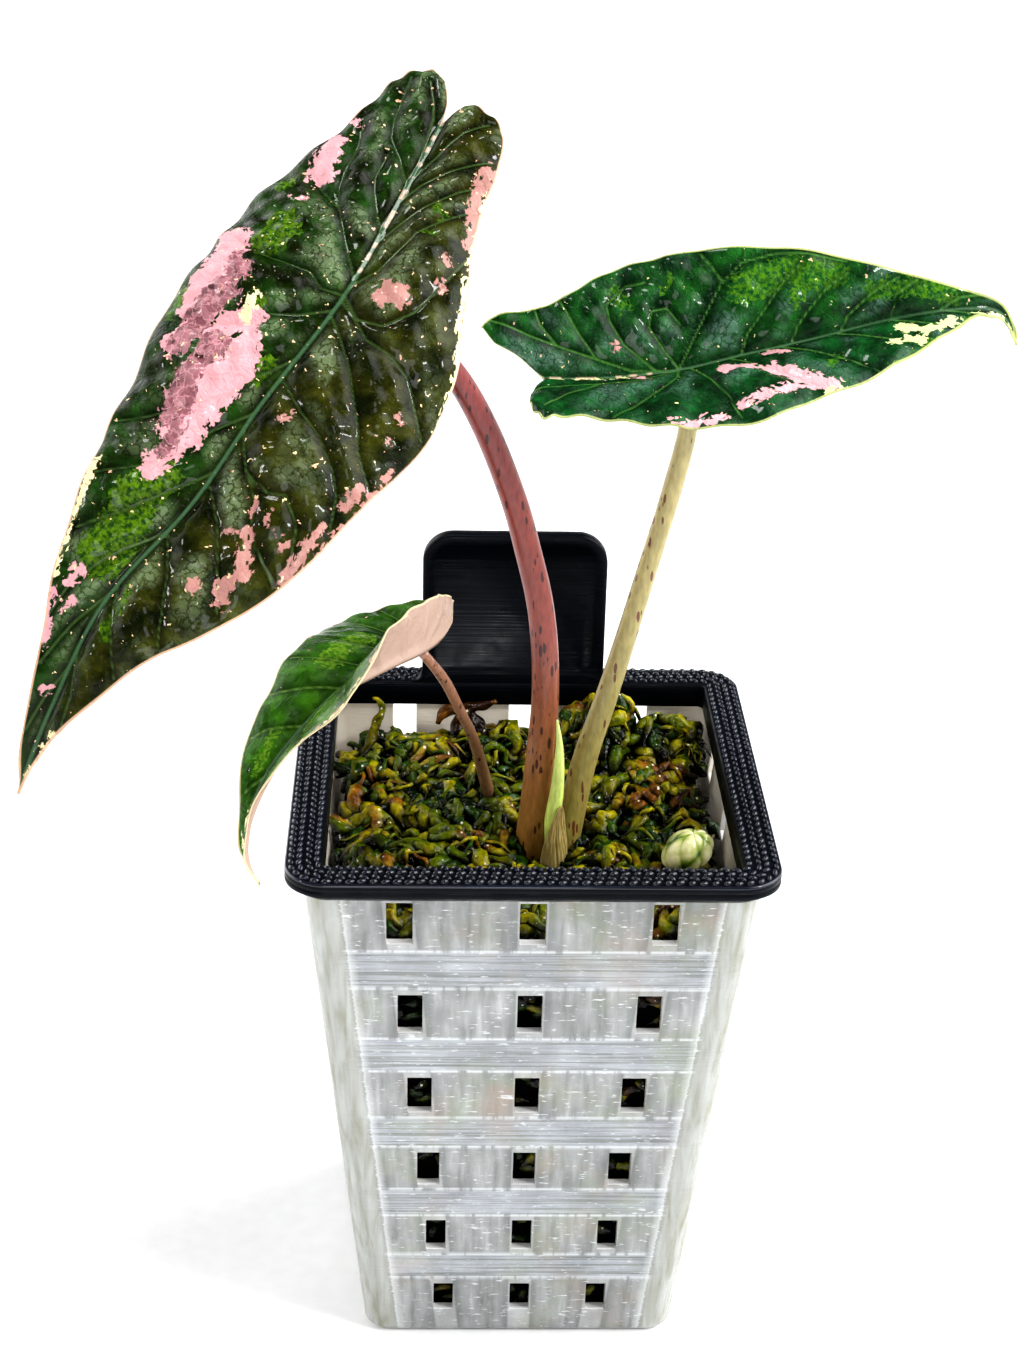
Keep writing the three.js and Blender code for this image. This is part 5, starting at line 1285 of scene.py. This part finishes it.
def clear_print_material():
    """Clear filament, printed in layers: air between the layers makes it cloudy and silvery. Level lines show
    in the plain bands, upright streaks and short white dashes beside the windows, painted grey shade where a
    window's side shows through the wall, and stained streaks in the corners, where the wall turns. A ragged
    painted highlight runs where each corner strip starts, and faces that look up and the inside faces are
    painted light."""
    material, add = new_material("clear layered print")
    place = add("TexCoord")
    axes = add("SeparateXYZ", [place.outputs["Object"]]).outputs
    facing = add("SeparateXYZ", [place.outputs["Normal"]]).outputs
    share = add("Math DIVIDE", [axes["Z"], POT_HEIGHT * MM])
    black, white = "#000000", "#ffffff"
    bands, borders = [(0.0, black)], [(0.0, black)]
    for low, high in np.array(LINED_BANDS) / POT_HEIGHT:
        bands += [(low - 0.006, black), (low + 0.004, white), (high - 0.004, white), (high + 0.006, black)]
        for z in (low, high):
            borders += [(z - 0.004, black), (z, white), (z + 0.004, black)]
    lined = add("ValToRGB", [share], bands)
    bordered = add("ValToRGB", [share], borders)
    # Level lines, half a millimetre apart and as long as the wall
    level = add("Mapping", {"Vector": place.outputs["Object"], "Scale": (26, 26, 2200)})
    lines = add("TexNoise", [level, 1.0, 3, 0.65])
    upright = add("Mapping", {"Vector": place.outputs["Object"], "Scale": (620, 620, 70)})
    streaks = add("TexNoise", {"Vector": upright, "Scale": 1.0, "Detail": 3, "Distortion": 0.3})
    cloudy = add("TexNoise", [place.outputs["Object"], 110, 5, 0.6])
    line_colour = add("ValToRGB", [lines], [(0.3, "#8f9699"), (0.44, "#b4b9b9"), (0.55, "#dde2ea"),
            (0.64, "#bcc4cf"), (0.72, "#f4f7fb")])
    panel_colour = add("ValToRGB", [streaks], [(0.28, "#989c9a"), (0.45, "#b4b8b7"), (0.6, "#c4c7c7"),
            (0.75, "#dfe2e4")])
    wall = add("Mix", [lined, panel_colour, line_colour])
    # Along the wall: the lesser of |x| and |y| counts from its middle, and each window's place is known
    across = add("Math ABSOLUTE", [axes["X"]])
    deep = add("Math ABSOLUTE", [axes["Y"]])
    greater = add("Math MAXIMUM", [across, deep])
    lesser = add("Math MINIMUM", [across, deep])
    column = add("Math MULTIPLY_ADD", [axes["Z"], 0.0963, 13.5 * MM])
    aside = add("Math SUBTRACT", [lesser, column])
    from_column = add("Math ABSOLUTE", [aside])
    from_window = add("Math MINIMUM", [from_column, lesser])
    half_width = add("Math MULTIPLY_ADD", [axes["Z"], 0.0055, 1.75 * MM])
    beside = add("Math SUBTRACT", [from_window, half_width])
    beside_share = add("MapRange", [beside, 0, 4 * MM])
    # Beside each window: pale at its edge, then a band of painted grey shade where the window's side shows
    # through the wall
    window_side_shade = add("ValToRGB", [beside_share], [(0.0, "#dfe1e1"), (0.06, "#c9cbcb"), (0.12, "#888c8c"),
            (0.3, "#9a9d9e"), (0.5, "#b6b9b9"), (0.62, "#c8cbcb"), (0.7, "#b6b9b9")])
    window_side_weight = add("MapRange", [beside, 1.2 * MM, 3.2 * MM, 0.6, 0.0])
    in_panel = add("Math SUBTRACT", [1.0, lined])
    window_side_share = add("Math MULTIPLY", [window_side_weight, in_panel])
    window_side_shaded = add("Mix", [window_side_share, wall, window_side_shade])
    misty = add("MapRange", [cloudy, 0.3, 0.7, 0.47, 0.77])
    clouded = add("Mix MULTIPLY", [1.0, window_side_shaded, misty])
    # What lies behind the wall shows as faint clouds, green here and brown there
    shapes = add("TexNoise", [place.outputs["Object"], 70, 4, 0.55])
    seen = add("MapRange", [shapes, 0.5, 0.72, 0, 0.5])
    hue = add("SeparateColor", [shapes.outputs["Color"]]).outputs["Green"]
    browner = add("MapRange", [hue, 0.48, 0.6])
    behind = add("Mix", [browner, "#8f9c74", "#a58c76"])
    hazy = add("Mix", [seen, clouded, behind])
    # Short white dashes and the white lines at the ends of the bands, broken here and there
    short = add("Mapping", {"Vector": place.outputs["Object"], "Scale": (420, 420, 2100)})
    dashes = add("TexNoise", [short, 1.0, 3, 0.6])
    dash = add("MapRange", [dashes, 0.62, 0.7, 0, 0.8])
    broken = add("MapRange", [streaks, 0.38, 0.5, 0, 0.85])
    drawn = add("Math MULTIPLY", [bordered, broken])
    bright = add("Math MAXIMUM", [dash, drawn])
    dashed = add("Mix", [bright, hazy, "#e9edf0"])
    # Corners: how near the lesser of |x| and |y| comes to the greater, and a ragged white painted highlight
    # where the corner strip starts
    apart = add("Math SUBTRACT", [greater, lesser])
    ragged = add("Math MULTIPLY_ADD", [dashes, 1.0 * MM, apart])
    corner = add("MapRange", [ragged, 6.0 * MM, 7.2 * MM, 1.0, 0.0])
    turn = add("Mapping", {"Vector": place.outputs["Object"], "Scale": (600, 600, 50)})
    stains = add("TexNoise", {"Vector": turn, "Scale": 1.0, "Detail": 4, "Distortion": 0.4})
    stain_colour = add("ValToRGB", [stains], [(0.26, "#8a8a78"), (0.38, "#a0a297"), (0.5, "#aeb0ab"),
            (0.7, "#bec1be")])
    cornered = add("Mix", [corner, dashed, stain_colour])
    line_up = add("MapRange", [ragged, 6.7 * MM, 8.6 * MM])
    ridge = add("ValToRGB", [line_up], [(0.0, (0, 0, 0, 1)), (0.15, (0.45, 0.45, 0.45, 1)),
            (0.35, (0.28, 0.28, 0.28, 1)), (0.9, (0, 0, 0, 1))])
    corner_highlighted = add("Mix", [ridge, cornered, "#fbfdff"])
    # Painted light: faces that look up, such as the windows' sills, are painted near white
    painted_sill_light = add("MapRange", [facing["Z"], 0.5, 0.8, 0, 0.9])
    finished = add("Mix", [painted_sill_light, corner_highlighted, "#ffffff"])
    # Inside, the faces are plain and painted warm near white: painted light for the light that comes through
    # the wall
    sideways = add("Math MULTIPLY", [facing["X"], axes["X"]])
    outwards = add("Math MULTIPLY_ADD", [facing["Y"], axes["Y"], sideways])
    inner = add("MapRange", [outwards, -20 * MM, -5 * MM, 0.95, 0.0])
    inside_lit = add("Mix", [inner, finished, "#fff6e6"])
    flat = add("Math MULTIPLY", [lines, lined])
    height = add("Math MULTIPLY_ADD", [dashes, 0.5, flat])
    bump = add("Bump", {"Height": height, "Strength": 0.7, "Distance": 0.35 * MM})
    return closed(material, add, {"Base Color": inside_lit, "Roughness": 0.26, "IOR": 1.46,
            "Transmission Weight": 0.15, "Coat Weight": 0.3, "Coat Roughness": 0.1, "Normal": bump})


def dark_print_material(name, dark, light, ior, coat):
    """Black filament, printed: melted plastic, near black with a blue cast, in level layers. Its beads shine
    more than its flat faces."""
    material, add = new_material(name)
    place = add("TexCoord").outputs["Object"]
    level = add("Mapping", {"Vector": place, "Scale": (30, 30, 1 / (LAYER * MM))})
    lines = add("TexNoise", [level, 1.0])
    smears = add("TexNoise", [place, 300, 3])
    colour = add("ValToRGB", [lines], [(0.3, dark), (0.7, light)])
    rough = add("MapRange", [smears, 0.3, 0.7, 0.26, 0.5])
    height = add("Math MULTIPLY_ADD", [smears, 0.3, lines])
    bump = add("Bump", {"Height": height, "Strength": 0.6, "Distance": 0.2 * MM})
    return closed(material, add, {"Base Color": colour, "Roughness": rough, "IOR": ior, "Coat Weight": coat,
            "Coat Roughness": 0.04, "Normal": bump})


def crown_material():
    """Short stem under the moss: corky brown tissue with pale roots."""
    material, add = new_material("corky stem and roots")
    place = add("TexCoord").outputs["Object"]
    rings = add("Mapping", {"Vector": place, "Scale": (500, 500, 900)})
    cork = add("TexNoise", [rings, 1.0, 4])
    colour = add("ValToRGB", [cork], [(0.35, "#4a3520"), (0.6, "#7d6440"), (0.75, "#b09a70")])
    bump = add("Bump", {"Height": cork, "Strength": 0.6, "Distance": 0.4 * MM})
    return closed(material, add, {"Base Color": colour, "Roughness": 0.75, "IOR": 1.45, "Normal": bump})


def floor_material():
    """Matt white studio paper."""
    material, add = new_material("white studio paper")
    place = add("TexCoord").outputs["Object"]
    grain = add("TexNoise", [place, 300])
    colour = add("ValToRGB", [grain], [(0.3, "#f4f4f4"), (0.7, "#f8f8f8")])
    return closed(material, add, {"Base Color": colour, "Roughness": 0.9, "IOR": 1.45})


# The plant

clear_print = clear_print_material()
dark_print = dark_print_material("dark layered print", "#020409", "#060a13", 1.2, 0.0)
knitted_print = dark_print_material("dark knitted print", "#040914", "#0f182a", 1.25, 0.75)
wet_moss = moss_material("wet sphagnum", wet=True)
# The packed moss has no lift, so its material paints it near black as shade
moss_in_painted_shade = moss_material("packed sphagnum", wet=False)

LEAF_THICKNESS = 0.5
# Each look ends with the speck level, the share and colour of the painted sheen, and the vein colour
for blade, node, name, slot, per_row, across, look in (
        (LARGE, "leaf_blade_large", "variegated_leaf", "variegated_blade", 18, 52, (
            "variegated leaf blade", "#101602", "#36380a", "#1c3c0e", "#567812", "#5c2f38", "#c98f8f",
            "#efe0ac", "#cf9499", "#7c4c54", "#d8b092", 0.72, 0.58, "#80926c", "#4a6434")),
        (RIGHT, "leaf_blade_right", "dark_leaf", "dark_blade", 13, 40, (
            "deep green leaf blade", "#08280f", "#1c541c", "#114a1e", "#4c7c18", "#5a4a3c", "#caa08c",
            "#d9e0a0", "#e8a8ac", "#a06c72", "#b8bf7a", 0.745, 0.4, "#6d8f80", "#558c40")),
        (SMALL, "leaf_blade_small", "young_leaf_folded", "young_blade", 13, 36, (
            "young leaf blade", "#22480a", "#4c7c1a", "#3a6c16", "#76a02c", "#aa9284", "#b8a496",
            "#e8dcae", "#e3b4a6", "#b57f84", "#d8c8a0", 0.76, 0.2, "#8ca080", "#6f9a44"))):
    leaf = new_object(name, blade_mesh(name, blade, per_row, across, LEAF_THICKNESS), leaf_material(*look))
    hand_in(leaf, slot, node)

# Shallow grooves run up each stalk's foot and fade out
grooved = lambda share, angle: 1 + 0.05 * np.cos(5 * angle + 0.4) * np.clip(1.1 - 2.2 * share, 0, 1)
for key, name, slot, look in (
        ("large", "red_stalk", "red_petiole",
         ("red leaf stalk", "#987034", "#823c30", "#782a32", 150, "#2c080d", 0.42)),
        ("right", "pale_stalk", "pale_petiole",
         ("pale leaf stalk", "#8a7c3c", "#9c9058", "#aea270", 105, "#5e2418", 0.42)),
        ("small", "brown_stalk", "brown_petiole",
         ("brown leaf stalk", "#46301e", "#826244", "#a07460", 68, "#2a140c", 0.42))):
    stalk = make_stem(name, PETIOLES[key], stem_material(*look), 220, 36, grooved)
    hand_in(stalk, slot, "petiole_" + key)

young = stem_material("rolled young leaf", "#9aa648", "#c5d96a", "#d6e48a", 36, "#a8bc50", 0.1)
hand_in(make_stem("rolled_leaf_tip", SPEAR, young, 90, 24), "young_leaf", "rolled_new_leaf")
hand_in(make_scale_leaf(papery_material()), "dry_scale", "scale_leaf")

hand_in(make_pot(clear_print), "clear_print", "pot")
hand_in(make_collar(dark_print), "dark_print", "collar")
for piece in (make_bumps(knitted_print), make_edge_bead(knitted_print), make_tab(dark_print)):
    hand_in(piece, "dark_print")

hand_in(make_moss_bed(moss_in_painted_shade), "wet_moss", "moss")
strands = strand_tree()
top_sheet = moss_surface(32)
tuft_x, tuft_y = np.meshgrid(np.linspace(26, 34.5, 8), np.linspace(20, 27, 7), indexing="ij")
tuft_z = 97 + 4.5 * np.exp(-((tuft_x - 31) ** 2 + (tuft_y - 24) ** 2) / 3.6 ** 2)
tuft_sheet = (np.column_stack([tuft_x.ravel(), tuft_y.ravel(), tuft_z.ravel()]),
              [face[::-1] for face in grid_faces(8, 7)])
for piece in (
        strew("moss_fat_curls", strands, wet_moss, top_sheet, 75000.0, 8.5, 1.45, 8, 8, 1.7, 3),
        strew("moss_small_curls", strands, wet_moss, top_sheet, 150000.0, 6.0, 0.95, 9, 8, 1.5, 8),
        strew("moss_thin_threads", strands, wet_moss, top_sheet, 120000.0, 6.0, 0.4, 12, 7, 0.6, 12),
        make_curls(wet_moss),
        make_bud(bud_material()),
        strew("moss_fibre_tuft", strands, wet_moss, tuft_sheet, 3500000.0, 4.0, 0.26, 5, 4, 0.3, 2),
        strew("moss_at_windows", strands, wet_moss, window_patches(), 120000.0, 6.5, 1.1, 1.5, 3, 0.8, 5)):
    hand_in(piece, "wet_moss")

for thing in bpy.data.objects:
    if thing.name == "crown" and thing.type == "MESH":
        thing.data.materials.clear()
        thing.data.materials.append(crown_material())

# Floor, light and camera

FLOOR_HALF = 30000
FLOOR_Z = -0.05
floor_corners = [(x * FLOOR_HALF, y * FLOOR_HALF, FLOOR_Z) for x, y in ((-1, -1), (1, -1), (1, 1), (-1, 1))]
floor = new_object("studio_floor", new_mesh("studio_floor", floor_corners, [[0, 1, 2, 3]]), floor_material())

# Bright white walls high on the right and low behind on the left, a pale line round the horizon, and grey
# elsewhere: the leaves, which face left and up, mirror the grey
WORLD_GREY = 0.12
scene = bpy.context.scene
world = bpy.data.worlds.new("studio")
scene.world = world
world.use_nodes = True
world.node_tree.nodes.clear()
add = partial(add_node, world.node_tree)
tent = add("TexCoord").outputs["Generated"]
glow = add("MapRange", [add("SeparateXYZ", [tent]).outputs["Z"], 0.02, 0.12, 1.0, WORLD_GREY])
for wall, strength in (((0.8, 0.05, 0.6), 5.6), ((-0.8, 0.55, 0.25), 3.5)):
    toward = add("VectorMath DOT_PRODUCT", [tent, wall])
    lit = add("MapRange SMOOTHSTEP", [toward, 0.74, 0.97, WORLD_GREY, strength])
    glow = add("Math MAXIMUM", [glow, lit])
add("OutputWorld", {"Surface": add("Background", {"Color": "#ffffff", "Strength": glow})})
scene.view_settings.view_transform = "Standard"
scene.view_settings.look = "Medium High Contrast"

# Name, place, what it looks at, side of its square, power
for name, place, aim, size, power in (
        ("overhead light", (-135, 20, 860), (-30, -10, 150), 110, 1.4),
        ("left light", (-760, -230, 520), (-20, -10, 150), 90, 1.3),
        ("right light", (520, -330, 560), (0, 0, 150), 80, 1.6),
        ("front light", (-60, -900, 480), (0, 0, 90), 300, 2.2)):
    lamp = bpy.data.lights.new(name, "AREA")
    lamp.shape = "SQUARE"
    lamp.size = size * MM
    lamp.energy = power
    light = bpy.data.objects.new(name, lamp)
    light.location = Vector(place) * MM
    light.rotation_euler = (Vector(aim) - Vector(place)).to_track_quat("-Z", "Y").to_euler()
    scene.collection.objects.link(light)

yaw, pitch, roll = (math.radians(angle) for angle in (CAMERA_YAW, CAMERA_PITCH, CAMERA_ROLL))
forward = Vector((math.sin(yaw) * math.cos(pitch), math.cos(yaw) * math.cos(pitch), -math.sin(pitch)))
right = Vector((math.cos(yaw), -math.sin(yaw), 0))
up = right.cross(forward)
camera_right = right * math.cos(roll) + up * math.sin(roll)
camera_up = up * math.cos(roll) - right * math.sin(roll)
lens = bpy.data.cameras.new("photo camera")
lens.sensor_width = 36
lens.lens = CAMERA_LENS
camera = bpy.data.objects.new("photo camera", lens)
rows = [(camera_right[k], camera_up[k], -forward[k], CAMERA_PLACE[k] * MM) for k in range(3)]
camera.matrix_world = Matrix([*rows, (0, 0, 0, 1)])
scene.collection.objects.link(camera)
scene.camera = camera
